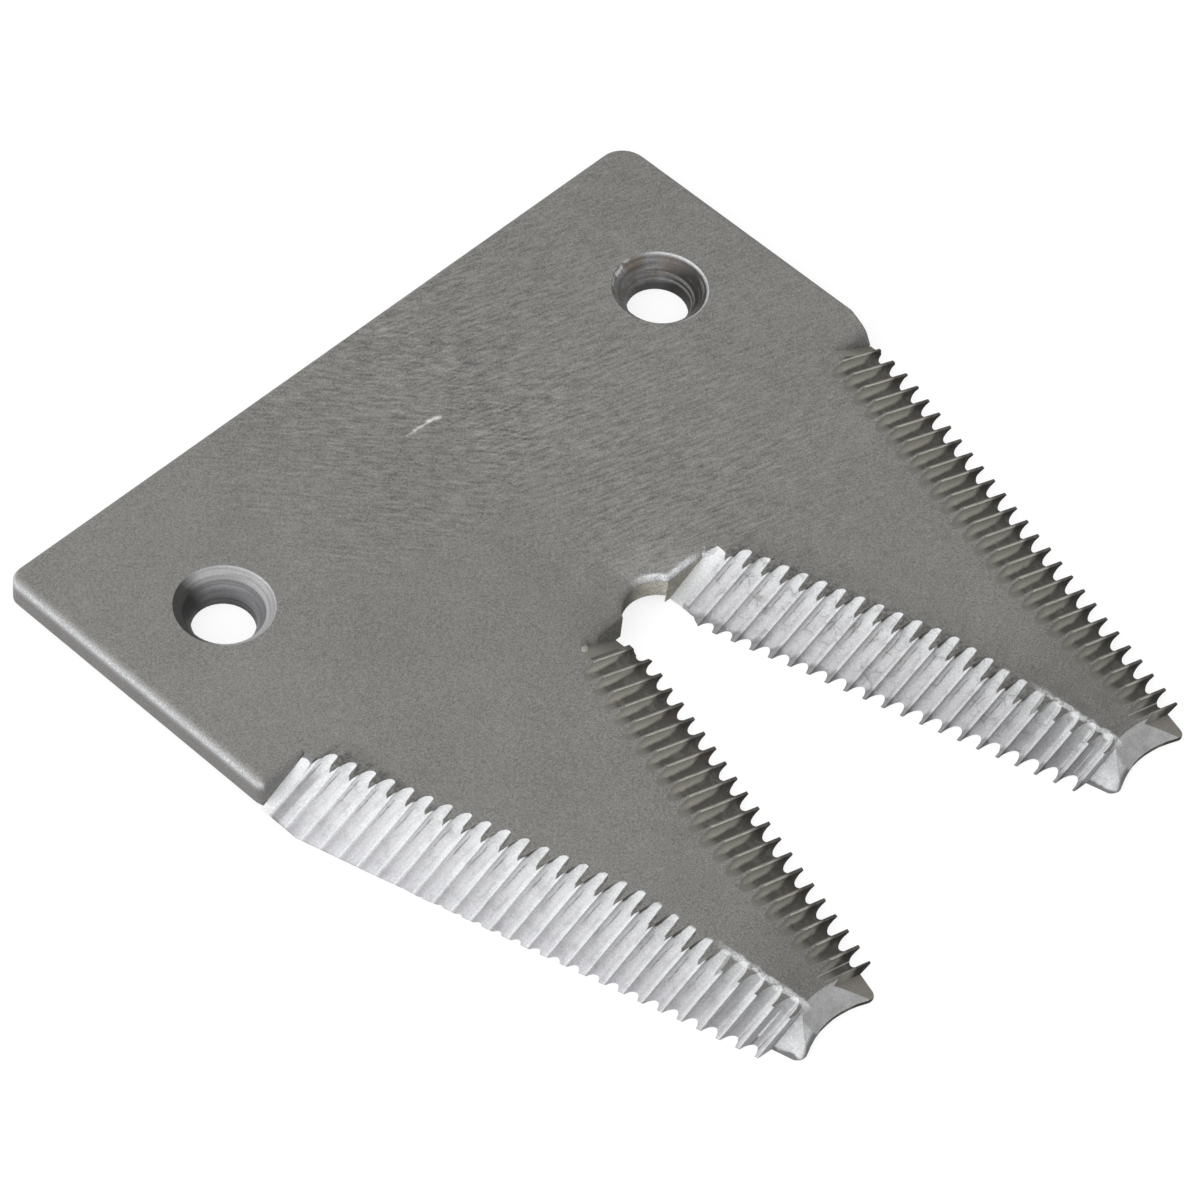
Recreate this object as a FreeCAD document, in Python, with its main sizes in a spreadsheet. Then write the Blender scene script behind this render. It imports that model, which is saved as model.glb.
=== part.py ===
"""Sickle section: a flat steel knife plate with two serrated fingers, for a mower or combine cutter bar.

One stamped piece. X runs along the two rivet holes, the fingers point along -Y, +Z is the bevelled side.
The origin is midway between the two holes, on the flat underside. Sizes are in millimetres and degrees.
"""

import FreeCAD, Part
import math
import os
import Sketcher

# Driving sizes

SIZES = {
    "plate_width": 76.2,
    "plate_thick": 3.2,
    "holes_to_back": 15.0,
    "holes_to_ends": 63.9,
    "holes_to_outer_heel": 15.9,
    "holes_to_inner_heel": 23.6,
    "back_round_right": 2.6,
    "back_round_left": 1.4,
    "heel_round": 0.8,
    "heel_run_out_length": 3.5,
    "heel_run_out_width": 1.2,
    "heel_wall_turn": 1.4,
    "edge_roll": 0.8,
    "edge_break": 0.4,
    "hole_spacing": 54.0,
    "bore_dia": 5.6,
    "bore_land": 0.9,
    "taper_dia": 7.1,
    "mouth_dia": 8.8,
    "notch_radius": 3.4,
    "notch_break": 0.8,
    "holes_to_notch": 22.1,
    "finger_centre": 19.8,
    "finger_end_width": 12.2,
    "outer_line_start": 20.0,
    "inner_gap": 4.6,
    "inner_gap_reach": 25.5,
    "bevel_angle": 26.0,
    "edge_land": 0.12,
    "heel_facet_angle": 32.0,
    "heel_foot": 0.05,
    "outer_facet_width": 1.0,
    "inner_facet_width": 1.5,
    "groove_angle": 25.0,
    "worn_groove_angle": 22.5,
    "groove_pitch": 1.7,
    "groove_radius": 0.72,
    "groove_height": 2.0,
    "tooth_length_end": 1.7,
    "tooth_length_heel": 1.5,
    "tooth_length_root_right": 0.8,
    "tooth_length_root_left": 1.1,
    "worn_length_end": 1.1,
    "worn_length_heel": -0.45,
    "last_tooth_to_end": 2.8,
    "relief_step": 0.15,
    "end_setback": 1.4,
    "taper_reach": 19.6,
    "end_thick": 1.7,
    "end_face": 0.4,
    "end_facet_angle": 38.0,
    "end_hollow_radius": 8.0,
    "end_hollow": 1.0,
    "end_corner": 0.9,
    "web_overlap": 5.2,
    "web_behind_notch": 1.3,
    "web_margin": 0.25,
    "hidden_step": 0.8,
    "notch_break_sweep": 110.0,
    "overrun": 1.0,
}

doc = FreeCAD.newDocument("SickleSection")
sheet = doc.addObject("Spreadsheet::Sheet", "Sizes")
for row, (alias, size) in enumerate(SIZES.items(), start=1):
    sheet.set(f"A{row}", alias)
    sheet.set(f"B{row}", str(size))
    sheet.setAlias(f"B{row}", alias)
doc.recompute()


def value(expression):
    """Number that an expression on the sheet gives now."""
    result = sheet.evalExpression(expression)
    return float(getattr(result, "Value", result))


def cell(alias):
    """How an expression names a size on the sheet."""
    return f"Sizes.{alias}"


# Lines and angles that several features share, written once as expressions on the sheet

HALF_WIDTH = "(Sizes.plate_width / 2)"
OUTER_END_X = "(Sizes.finger_centre + Sizes.finger_end_width / 2)"
INNER_END_X = "(Sizes.finger_centre - Sizes.finger_end_width / 2)"
OUTER_SLOPE = f"(({HALF_WIDTH} - {OUTER_END_X}) / (Sizes.holes_to_ends - Sizes.outer_line_start))"
INNER_SLOPE = f"(({INNER_END_X} - Sizes.inner_gap / 2) / (Sizes.holes_to_ends - Sizes.inner_gap_reach))"
BEVEL_RISE = "tan(Sizes.bevel_angle * 1 deg)"
FACET_RISE = "tan(Sizes.heel_facet_angle * 1 deg)"
LAST_TOOTH_Y = "(Sizes.last_tooth_to_end - Sizes.holes_to_ends)"
FIRST_GROOVE_Y = f"({LAST_TOOTH_Y} + Sizes.groove_pitch / 2)"
NOTCH_CENTRE_Y = "(-Sizes.holes_to_notch - Sizes.notch_radius)"
END_CENTRE_Y = "(Sizes.end_hollow - Sizes.holes_to_ends - Sizes.end_hollow_radius)"
WEB_BACK_Y = "(Sizes.web_overlap - Sizes.holes_to_outer_heel)"
WEB_FRONT_Y = "(Sizes.web_behind_notch - Sizes.holes_to_notch)"
FULL_TURN = "360"


def outer_x(y):
    """X of the outer tooth line at a Y, both as expressions."""
    return f"({HALF_WIDTH} + ({y} + Sizes.outer_line_start) * {OUTER_SLOPE})"


def inner_x(y):
    """X of the inner tooth line at a Y, both as expressions."""
    return f"(Sizes.inner_gap / 2 - ({y} + Sizes.inner_gap_reach) * {INNER_SLOPE})"


def facet_top_x(outer):
    """X, on the right hand side, where a heel facet runs out at the top face."""
    if outer:
        return f"({HALF_WIDTH} - (Sizes.plate_thick - Sizes.heel_foot) / {FACET_RISE})"
    return f"(Sizes.notch_radius + Sizes.plate_thick / {FACET_RISE})"


def heel_y(outer):
    """Y where a row's head wall stands."""
    return "(-Sizes.holes_to_outer_heel)" if outer else "(-Sizes.holes_to_inner_heel)"


def facet_front_y(outer):
    """Y where a row's heel facet ends and its teeth begin."""
    width = "Sizes.outer_facet_width" if outer else "Sizes.inner_facet_width"
    return f"({heel_y(outer)} - {width})"


# Sketch and feature helpers

def sketch_on(body, role, name, offset=None):
    """Empty sketch on one of the body's origin planes, moved along the plane's normal by an expression."""
    sketch = body.newObject("Sketcher::SketchObject", name)
    plane = next(f for f in body.Origin.OriginFeatures if f.Role == role)
    sketch.AttachmentSupport = (plane, [""])
    sketch.MapMode = "FlatFace"
    if offset is not None:
        sketch.setExpression("AttachmentOffset.Base.z", offset)
    return sketch


def place_point(sketch, label, geometry, end, x, y):
    """Hold one end of a sketch line at a place given by two expressions."""
    for axis, expression in (("X", x), ("Y", y)):
        now = value(expression)
        index = sketch.addConstraint(Sketcher.Constraint(f"Distance{axis}", -1, 1, geometry, end, now))
        sketch.renameConstraint(index, f"{label}_{axis.lower()}")
        sketch.setExpression(f"Constraints.{label}_{axis.lower()}", expression)


def add_polygon(sketch, label, corners):
    """Closed outline of straight lines through corners given as pairs of expressions."""
    points = [FreeCAD.Vector(value(x), value(y), 0) for x, y in corners]
    first = sketch.GeometryCount
    count = len(corners)
    for i in range(count):
        sketch.addGeometry(Part.LineSegment(points[i], points[(i + 1) % count]))
    for i in range(count):
        following = first + (i + 1) % count
        sketch.addConstraint(Sketcher.Constraint("Coincident", first + i, 2, following, 1))
    for i, (x, y) in enumerate(corners):
        place_point(sketch, f"{label}{i}", first + i, 1, x, y)


def add_circle(sketch, label, x, y, radius):
    """Circle held by its centre and radius, all three given as expressions."""
    centre = FreeCAD.Vector(value(x), value(y), 0)
    index = sketch.addGeometry(Part.Circle(centre, FreeCAD.Vector(0, 0, 1), value(radius)))
    place_point(sketch, label, index, 3, x, y)
    size = sketch.addConstraint(Sketcher.Constraint("Radius", index, value(radius)))
    sketch.renameConstraint(size, f"{label}_radius")
    sketch.setExpression(f"Constraints.{label}_radius", radius)


def pad(body, sketch, name, height):
    """Sketch raised from the underside to a height given as an expression."""
    feature = body.newObject("PartDesign::Pad", name)
    feature.Profile = sketch
    feature.setExpression("Length", height)
    sketch.Visibility = False
    return feature


def cut_through(body, sketch, name):
    """Sketch cut through everything, both ways from its plane."""
    feature = body.newObject("PartDesign::Pocket", name)
    feature.Profile = sketch
    feature.SideType = "Symmetric"
    feature.Type = "ThroughAll"
    sketch.Visibility = False
    return feature


def cut_up_slope(body, sketch, name, inward, angle):
    """Sketch cut from its plane towards one side, rising into the plate at an angle."""
    feature = body.newObject("PartDesign::Pocket", name)
    feature.Profile = sketch
    feature.UseCustomVector = True
    feature.AlongSketchNormal = False
    feature.setExpression("Direction.x", f"{inward} * cos({angle} * 1 deg)")
    feature.Direction.y = 0
    feature.setExpression("Direction.z", f"sin({angle} * 1 deg)")
    feature.Type = "Length"
    feature.setExpression("Length", HALF_WIDTH)
    sketch.Visibility = False
    return feature


def revolve_cut(body, sketch, name, axis_y, angle):
    """Sketch turned by an angle about an upright line at one of its X positions, as a cut."""
    foot = FreeCAD.Vector(value(axis_y), 0, 0)
    axis = sketch.addGeometry(Part.LineSegment(foot, foot + FreeCAD.Vector(0, 1, 0)), True)
    sketch.addConstraint(Sketcher.Constraint("Vertical", axis))
    place_point(sketch, "axis", axis, 1, axis_y, "0")
    length = sketch.addConstraint(Sketcher.Constraint("Distance", axis, 1.0))
    sketch.renameConstraint(length, "axis_length")
    cut = body.newObject("PartDesign::Groove", name)
    cut.Profile = sketch
    cut.ReferenceAxis = (sketch, ["Axis0"])
    cut.Midplane = True
    cut.setExpression("Angle", angle)
    sketch.Visibility = False
    doc.recompute()
    return cut


def mirror_across(body, feature, name):
    """Feature repeated on the other side of the middle plane."""
    both = body.newObject("PartDesign::Mirrored", name)
    both.Originals = [feature]
    plane = next(f for f in body.Origin.OriginFeatures if f.Role == "YZ_Plane")
    both.MirrorPlane = (plane, [""])
    body.Tip = both


def edge_names(shape, test):
    """Names of the edges whose two ends and middle all pass a test."""
    names = []
    for number, edge in enumerate(shape.Edges, start=1):
        low, high = edge.ParameterRange
        samples = [edge.valueAt(low), edge.valueAt((low + high) / 2), edge.valueAt(high)]
        if all(test(point) for point in samples):
            names.append(f"Edge{number}")
    return names


def near(a, b):
    """Two lengths that agree to a thousandth of a millimetre."""
    return abs(a - b) < 0.001


# Rows of teeth: name, side of the plate, whether they stand on the outer line, how steep their grooves
# rise, and how far the grooves cut into the tooth line at the finger's end and at its heel

ROWS = (
    ("outer_right", 1, True, "groove_angle", "tooth_length_end", "tooth_length_heel"),
    ("inner_right", 1, False, "groove_angle", "tooth_length_end", "tooth_length_root_right"),
    ("inner_left", -1, False, "groove_angle", "tooth_length_end", "tooth_length_root_left"),
    ("outer_left", -1, True, "worn_groove_angle", "worn_length_end", "worn_length_heel"),
)


def add_finger_blank(body):
    """Both fingers and the web that joins them under the head, at full thickness."""
    back = WEB_BACK_Y
    front = WEB_FRONT_Y
    beyond = "(-Sizes.holes_to_ends - Sizes.overrun)"
    heel = heel_y(True)

    right = [
        (facet_top_x(True), back),
        (facet_top_x(True), heel),
        (HALF_WIDTH, heel),
        (HALF_WIDTH, "-Sizes.outer_line_start"),
        (outer_x(beyond), beyond),
        (inner_x(beyond), beyond),
        (inner_x(front), front),
    ]
    left = [(f"-{x}", y) for x, y in reversed(right)]
    sketch = sketch_on(body, "XY_Plane", "FingerOutline")
    add_polygon(sketch, "p", right + left)
    pad(body, sketch, "FingerBlank", cell("plate_thick"))


def add_notch(body, name):
    """Round root of the gap between the fingers."""
    sketch = sketch_on(body, "XY_Plane", f"{name}Circle")
    add_circle(sketch, "root", "0", NOTCH_CENTRE_Y, cell("notch_radius"))
    cut_through(body, sketch, name)


def add_tip_taper(body):
    """Top of both fingers, thinned towards the ends."""
    start = "(Sizes.taper_reach - Sizes.holes_to_ends)"
    fall = "((Sizes.plate_thick - Sizes.end_thick) / Sizes.taper_reach)"
    beyond = "(-Sizes.holes_to_ends - 2 * Sizes.overrun)"
    above = "(Sizes.plate_thick + Sizes.overrun)"
    sketch = sketch_on(body, "YZ_Plane", "TipTaperWedge")
    add_polygon(sketch, "p", [
        (start, cell("plate_thick")),
        (beyond, f"(Sizes.end_thick - 2 * Sizes.overrun * {fall})"),
        (beyond, above),
        (start, above),
    ])
    cut_through(body, sketch, "TipTaper")


def row_plane(side, outer):
    """X of the plane that a row's cuts start from, outside the plate or in the middle of the gap."""
    return f"({side} * ({HALF_WIDTH} + Sizes.overrun))" if outer else "0"


def below_line(y, outer, setback, rise):
    """Z in a row's plane of a slope that meets the underside a setback inside the tooth line."""
    if outer:
        return f"(-({HALF_WIDTH} + Sizes.overrun - {outer_x(y)} + {setback}) * {rise})"
    return f"(-({inner_x(y)} + {setback}) * {rise})"


def add_bevel(body, name, side, outer):
    """Bevel that the teeth stand on, with a step down past the last tooth."""
    inward = -side if outer else side
    start = facet_front_y(outer)
    step = f"({LAST_TOOTH_Y} - Sizes.relief_step)"
    foot = f"({step} - Sizes.relief_step)"
    beyond = "(-Sizes.holes_to_ends - 2 * Sizes.overrun)"
    above = "(Sizes.plate_thick + Sizes.overrun)"
    sketch = sketch_on(body, "YZ_Plane", f"{name}_bevel_outline", row_plane(side, outer))

    def crest(y):
        return f"(Sizes.edge_land + {below_line(y, outer, '0', BEVEL_RISE)})"

    add_polygon(sketch, "p", [
        (start, crest(start)),
        (step, crest(step)),
        (foot, below_line(foot, outer, cell("end_setback"), BEVEL_RISE)),
        (beyond, below_line(beyond, outer, cell("end_setback"), BEVEL_RISE)),
        (beyond, above),
        (start, above),
    ])
    cut_up_slope(body, sketch, f"{name}_bevel", inward, cell("bevel_angle"))


def add_heel_facet(body, name, side, outer):
    """Plain steep facet between the head wall and the first groove."""
    inward = -side if outer else side
    front = facet_front_y(outer)
    above = "(Sizes.plate_thick + Sizes.overrun)"
    if outer:
        back = f"({heel_y(outer)} + Sizes.overrun)"
        floor = f"(Sizes.heel_foot - Sizes.overrun * {FACET_RISE})"
    else:
        back = f"({WEB_FRONT_Y} + Sizes.web_margin)"
        floor = f"(-Sizes.notch_radius * {FACET_RISE})"
    sketch = sketch_on(body, "YZ_Plane", f"{name}_facet_outline", row_plane(side, outer))
    add_polygon(sketch, "p", [(front, floor), (back, floor), (back, above), (front, above)])
    cut_up_slope(body, sketch, f"{name}_facet", inward, cell("heel_facet_angle"))


def add_grooves(body, name, side, outer, angle, end_length, heel_length):
    """Row of round-bottomed grooves up the bevel, which leave the teeth standing between them."""
    inward = -side if outer else side
    tilt = f"Sizes.{angle} * 1 deg"
    reach = f"({facet_front_y(outer)} - {FIRST_GROOVE_Y})"
    count = f"(floor({reach} / Sizes.groove_pitch + 0.5))"
    slope = OUTER_SLOPE if outer else INNER_SLOPE
    shortening = f"((Sizes.{end_length} - Sizes.{heel_length}) / {reach})"
    climb = f"atan(({slope} + {shortening}) * sin({tilt}))"
    bottom = below_line(FIRST_GROOVE_Y, outer, cell(end_length), f"tan({tilt})")

    square_plane = body.newObject("PartDesign::Plane", f"{name}_square_plane")
    base = next(f for f in body.Origin.OriginFeatures if f.Role == "YZ_Plane")
    square_plane.AttachmentSupport = (base, [""])
    square_plane.MapMode = "FlatFace"
    square_plane.AttachmentOffset.Rotation = FreeCAD.Rotation(FreeCAD.Vector(1, 0, 0), 1)
    square_plane.setExpression("AttachmentOffset.Base.z", row_plane(side, outer))
    square_plane.setExpression("AttachmentOffset.Rotation.Angle", f"{-inward} * {tilt}")
    square_plane.Visibility = False
    doc.recompute()

    sketch = body.newObject("Sketcher::SketchObject", f"{name}_groove_outline")
    sketch.AttachmentSupport = (square_plane, [""])
    sketch.MapMode = "FlatFace"
    sketch.setExpression("AttachmentOffset.Base.x", FIRST_GROOVE_Y)
    sketch.setExpression("AttachmentOffset.Base.y", f"{bottom} * cos({tilt})")
    sketch.setExpression("AttachmentOffset.Rotation.Angle", climb)
    radius = value(cell("groove_radius"))
    height = value(cell("groove_height"))
    circle = Part.Circle(FreeCAD.Vector(0, radius, 0), FreeCAD.Vector(0, 0, 1), radius)
    arc = sketch.addGeometry(Part.ArcOfCircle(circle, math.pi, 2 * math.pi))
    corners = [(radius, radius), (radius, height), (-radius, height), (-radius, radius)]
    for (x1, y1), (x2, y2) in zip(corners, corners[1:]):
        sketch.addGeometry(Part.LineSegment(FreeCAD.Vector(x1, y1, 0), FreeCAD.Vector(x2, y2, 0)))
    right, top, left = arc + 1, arc + 2, arc + 3
    sketch.addConstraint([
        Sketcher.Constraint("Tangent", arc, 2, right, 1),
        Sketcher.Constraint("Coincident", right, 2, top, 1),
        Sketcher.Constraint("Coincident", top, 2, left, 1),
        Sketcher.Constraint("Tangent", left, 2, arc, 1),
        Sketcher.Constraint("PointOnObject", arc, 3, -2),
        Sketcher.Constraint("Vertical", right),
        Sketcher.Constraint("Vertical", left),
        Sketcher.Constraint("Horizontal", top),
    ])
    for label, kind, refs, alias in (
        ("radius", "Radius", (arc,), "groove_radius"),
        ("centre", "DistanceY", (-1, 1, arc, 3), "groove_radius"),
        ("height", "DistanceY", (-1, 1, top, 1), "groove_height"),
    ):
        index = sketch.addConstraint(Sketcher.Constraint(kind, *refs, value(cell(alias))))
        sketch.renameConstraint(index, label)
        sketch.setExpression(f"Constraints.{label}", cell(alias))
    groove = body.newObject("PartDesign::Pocket", f"{name}_groove")
    groove.Profile = sketch
    groove.Reversed = inward > 0
    groove.Type = "Length"
    groove.setExpression("Length", HALF_WIDTH)
    sketch.Visibility = False

    row = body.newObject("PartDesign::LinearPattern", f"{name}_teeth")
    row.Originals = [groove]
    row.Direction = (sketch, ["H_Axis"])
    row.Mode = "Extent"
    row.setExpression("Occurrences", count)
    row.setExpression("Length", f"({count} - 1) * Sizes.groove_pitch / cos({climb})")
    body.Tip = row


def add_end_facet(body):
    """Sloping facet across each finger's end, following the hollow end line."""
    rise = "tan(Sizes.end_facet_angle * 1 deg)"
    near_y = f"({END_CENTRE_Y} + Sizes.end_hollow_radius - Sizes.overrun)"
    far_y = f"({END_CENTRE_Y} + Sizes.end_hollow_radius + Sizes.plate_thick / {rise})"
    sketch = sketch_on(body, "YZ_Plane", "EndFacetProfile", cell("finger_centre"))
    add_polygon(sketch, "p", [
        (near_y, f"(Sizes.end_face - Sizes.overrun * {rise})"),
        (far_y, "(Sizes.end_face + Sizes.plate_thick)"),
        (near_y, "(Sizes.end_face + Sizes.plate_thick)"),
    ])
    facet = revolve_cut(body, sketch, "EndFacet", END_CENTRE_Y, FULL_TURN)
    mirror_across(body, facet, "EndFacets")


def add_end_trim(body):
    """Hollow end line of each finger, trimmed square through the metal."""
    for name, side in (("EndTrimRight", 1), ("EndTrimLeft", -1)):
        middle = f"({side} * Sizes.finger_centre)"
        sketch = sketch_on(body, "XY_Plane", f"{name}Outline")
        add_circle(sketch, "hollow", middle, END_CENTRE_Y, cell("end_hollow_radius"))
        cut_through(body, sketch, name)


def add_end_corners(body):
    """Rounded corners of each finger's end: an arc that touches the hollow end line and the side line."""
    sketch = sketch_on(body, "XY_Plane", "EndCornerOutline")
    hollow_y = value(END_CENTRE_Y)
    middle = value(cell("finger_centre"))
    hollow_radius = value(cell("end_hollow_radius"))
    radius = value(cell("end_corner"))
    centre = FreeCAD.Vector(middle, hollow_y, 0)
    hollow = sketch.addGeometry(Part.Circle(centre, FreeCAD.Vector(0, 0, 1), hollow_radius), True)
    place_point(sketch, "hollow", hollow, 3, cell("finger_centre"), END_CENTRE_Y)
    size = sketch.addConstraint(Sketcher.Constraint("Radius", hollow, hollow_radius))
    sketch.renameConstraint(size, "hollow_radius")
    sketch.setExpression("Constraints.hollow_radius", cell("end_hollow_radius"))
    high = LAST_TOOTH_Y
    low = "(-Sizes.holes_to_ends - Sizes.overrun)"
    for label, line, outward in (("outer", outer_x, 1), ("inner", inner_x, -1)):
        ends = [(f"({line(y)} - {outward} * Sizes.end_setback)", y) for y in (high, low)]
        top, bottom = [FreeCAD.Vector(value(x), value(y), 0) for x, y in ends]
        side = sketch.addGeometry(Part.LineSegment(top, bottom), True)
        place_point(sketch, f"{label}_high", side, 1, *ends[0])
        place_point(sketch, f"{label}_low", side, 2, *ends[1])

        along = (bottom - top).normalize()
        inner_side = FreeCAD.Vector(along.y, -along.x, 0) * outward
        start = top + inner_side * radius - centre
        half_way = start.dot(along)
        over = start.Length ** 2 - (hollow_radius + radius) ** 2
        arc_centre = centre + start + along * (-half_way - math.sqrt(half_way ** 2 - over))
        on_side = arc_centre - inner_side * radius
        on_end = arc_centre + (centre - arc_centre).normalize() * radius
        first, last = (on_end, on_side) if outward > 0 else (on_side, on_end)
        angles = [math.atan2(p.y - arc_centre.y, p.x - arc_centre.x) for p in (first, last)]
        circle = Part.Circle(arc_centre, FreeCAD.Vector(0, 0, 1), radius)
        arc = sketch.addGeometry(Part.ArcOfCircle(circle, *angles))
        beyond = (f"({ends[1][0]} + {outward} * Sizes.overrun)", f"({low} - Sizes.overrun)")
        corner = FreeCAD.Vector(value(beyond[0]), value(beyond[1]), 0)
        out = sketch.addGeometry(Part.LineSegment(last, corner))
        back = sketch.addGeometry(Part.LineSegment(corner, first))
        sketch.addConstraint([
            Sketcher.Constraint("Coincident", arc, 2, out, 1),
            Sketcher.Constraint("Coincident", out, 2, back, 1),
            Sketcher.Constraint("Coincident", back, 2, arc, 1),
            Sketcher.Constraint("Tangent", arc, 1 if outward > 0 else 2, hollow),
            Sketcher.Constraint("Tangent", arc, 2 if outward > 0 else 1, side),
        ])
        place_point(sketch, f"{label}_corner", out, 2, *beyond)
        size = sketch.addConstraint(Sketcher.Constraint("Radius", arc, radius))
        sketch.renameConstraint(size, f"{label}_radius")
        sketch.setExpression(f"Constraints.{label}_radius", cell("end_corner"))
    corners = cut_through(body, sketch, "EndCorners")
    mirror_across(body, corners, "AllEndCorners")


def build_head():
    """Head plate: the flat part that takes the rivets, with its rolled top edge and broken lower edge."""
    body = doc.addObject("PartDesign::Body", "Head")
    back = cell("holes_to_back")
    outer = heel_y(True)
    inner = heel_y(False)
    hidden = f"({outer} - Sizes.hidden_step)"
    groove_run = "(Sizes.plate_thick / tan(Sizes.groove_angle * 1 deg) + Sizes.tooth_length_end)"
    past_grooves = f"({HALF_WIDTH} - {groove_run})"
    wall_end = facet_top_x(False)
    right = [
        (HALF_WIDTH, back),
        (HALF_WIDTH, outer),
        (facet_top_x(True), outer),
        (facet_top_x(True), hidden),
        (past_grooves, hidden),
        (f"({wall_end} + Sizes.hidden_step)", f"({inner} - Sizes.heel_wall_turn + Sizes.hidden_step)"),
        (wall_end, f"({inner} - Sizes.heel_wall_turn)"),
        (f"({wall_end} - Sizes.heel_wall_turn)", inner),
    ]
    left = [(f"-{x}", y) for x, y in reversed(right)]
    sketch = sketch_on(body, "XY_Plane", "HeadOutline")
    add_polygon(sketch, "p", right + left)
    pad(body, sketch, "HeadPlate", cell("plate_thick"))
    add_notch(body, "HeadNotch")
    doc.recompute()

    half = value(HALF_WIDTH)
    back_y = value(back)
    outer_y = value(outer)
    turn_y = value(f"({inner} - Sizes.heel_wall_turn)")
    wall_x = value(wall_end)
    top = value(cell("plate_thick"))

    def dress(kind, name, test, size, alias):
        base = body.Tip
        feature = body.newObject(f"PartDesign::{kind}", name)
        feature.Base = (base, edge_names(base.Shape, test))
        feature.setExpression(size, alias)
        doc.recompute()

    def upright(x, y):
        return lambda point: near(point.x, x) and near(point.y, y)

    def low_margin(point):
        return near(point.z, 0) and (near(abs(point.x), half) or point.y > 0)

    def top_rim(point):
        beside_notch = abs(point.x) < wall_x + 0.001 and point.y > turn_y - 0.001
        return near(point.z, top) and (point.y > outer_y - 0.001 or beside_notch)

    dress("Fillet", "BackRoundRight", upright(half, back_y), "Radius", cell("back_round_right"))
    dress("Fillet", "BackRoundLeft", upright(-half, back_y), "Radius", cell("back_round_left"))
    dress("Chamfer", "BrokenEdge", low_margin, "Size", cell("edge_break"))
    dress("Fillet", "HeelRound", upright(-half, outer_y), "Radius", cell("heel_round"))
    dress("Fillet", "RolledEdge", top_rim, "Radius", cell("edge_roll"))
    add_heel_run_out(body)
    return body


def add_heel_run_out(body):
    """Steep cut where the grinding wheel left the right hand heel, from nothing to its full width."""
    start = f"({heel_y(True)} + Sizes.heel_run_out_length)"
    beyond = f"({heel_y(True)} - Sizes.overrun)"
    outside = f"({HALF_WIDTH} + Sizes.overrun)"
    lean = "(Sizes.heel_run_out_width / Sizes.heel_run_out_length)"
    depth = "(Sizes.plate_thick - Sizes.heel_foot)"
    sketch = sketch_on(body, "XY_Plane", "HeelRunOutOutline", cell("plate_thick"))
    add_polygon(sketch, "p", [
        (HALF_WIDTH, start),
        (f"({HALF_WIDTH} - Sizes.heel_run_out_width - Sizes.overrun * {lean})", beyond),
        (outside, beyond),
        (outside, start),
    ])
    cut = body.newObject("PartDesign::Pocket", "HeelRunOut")
    cut.Profile = sketch
    cut.UseCustomVector = True
    cut.AlongSketchNormal = False
    cut.setExpression("Direction.x", "Sizes.heel_run_out_width")
    cut.Direction.y = 0
    cut.setExpression("Direction.z", f"-{depth}")
    cut.Type = "Length"
    slant = "sqrt(Sizes.heel_run_out_width ^ 2 + Sizes.plate_thick ^ 2)"
    cut.setExpression("Length", f"{slant} + Sizes.overrun")
    sketch.Visibility = False
    doc.recompute()


def add_notch_break(body):
    """Broken lower edge round the root of the gap."""
    inside = f"({NOTCH_CENTRE_Y} + Sizes.notch_radius - Sizes.overrun)"
    outside = f"({NOTCH_CENTRE_Y} + Sizes.notch_radius + Sizes.notch_break + Sizes.overrun)"
    sketch = sketch_on(body, "YZ_Plane", "NotchBreakProfile")
    add_polygon(sketch, "p", [
        (inside, "(-Sizes.overrun)"),
        (outside, "(-Sizes.overrun)"),
        (inside, "(Sizes.notch_break + Sizes.overrun)"),
    ])
    revolve_cut(body, sketch, "NotchBreak", NOTCH_CENTRE_Y, cell("notch_break_sweep"))


def add_rivet_holes(body):
    """Two countersunk rivet holes: a 45 degree mouth, a taper for the rivet and a short straight bore."""
    sketch = sketch_on(body, "XZ_Plane", "RivetHoleProfile")
    middle = "(Sizes.hole_spacing / 2)"
    mouth = "(Sizes.mouth_dia / 2)"
    taper = "(Sizes.taper_dia / 2)"
    bore = "(Sizes.bore_dia / 2)"
    above = "(Sizes.plate_thick + Sizes.overrun)"
    lip = f"(Sizes.plate_thick - {mouth} + {taper})"
    add_polygon(sketch, "p", [
        (middle, "(-Sizes.overrun)"),
        (f"({middle} + {bore})", "(-Sizes.overrun)"),
        (f"({middle} + {bore})", cell("bore_land")),
        (f"({middle} + {taper})", lip),
        (f"({middle} + {mouth} + Sizes.overrun)", above),
        (middle, above),
    ])
    hole = revolve_cut(body, sketch, "RivetHole", middle, FULL_TURN)
    mirror_across(body, hole, "RivetHoles")


def build_section():
    """Whole section: serrated fingers first, then the head fused on and pierced."""
    head = build_head()
    body = doc.addObject("PartDesign::Body", "Section")
    body.Label = "sickle_section"
    add_finger_blank(body)
    add_notch(body, "FingerNotch")
    doc.recompute()
    add_tip_taper(body)
    for name, side, outer, angle, end_length, heel_length in ROWS:
        add_bevel(body, name, side, outer)
        add_heel_facet(body, name, side, outer)
        doc.recompute()
        before = body.Tip.Shape.Volume
        add_grooves(body, name, side, outer, angle, end_length, heel_length)
        doc.recompute()
        print(name, "teeth", body.Tip.Occurrences, "cut", round(before - body.Tip.Shape.Volume, 2), "mm3")
    add_end_facet(body)
    add_end_trim(body)
    doc.recompute()
    add_end_corners(body)
    doc.recompute()
    joined = body.newObject("PartDesign::Boolean", "WithHead")
    joined.Type = "Fuse"
    joined.setObjects([head])
    doc.recompute()
    add_notch_break(body)
    add_rivet_holes(body)
    doc.recompute()
    return body


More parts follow.
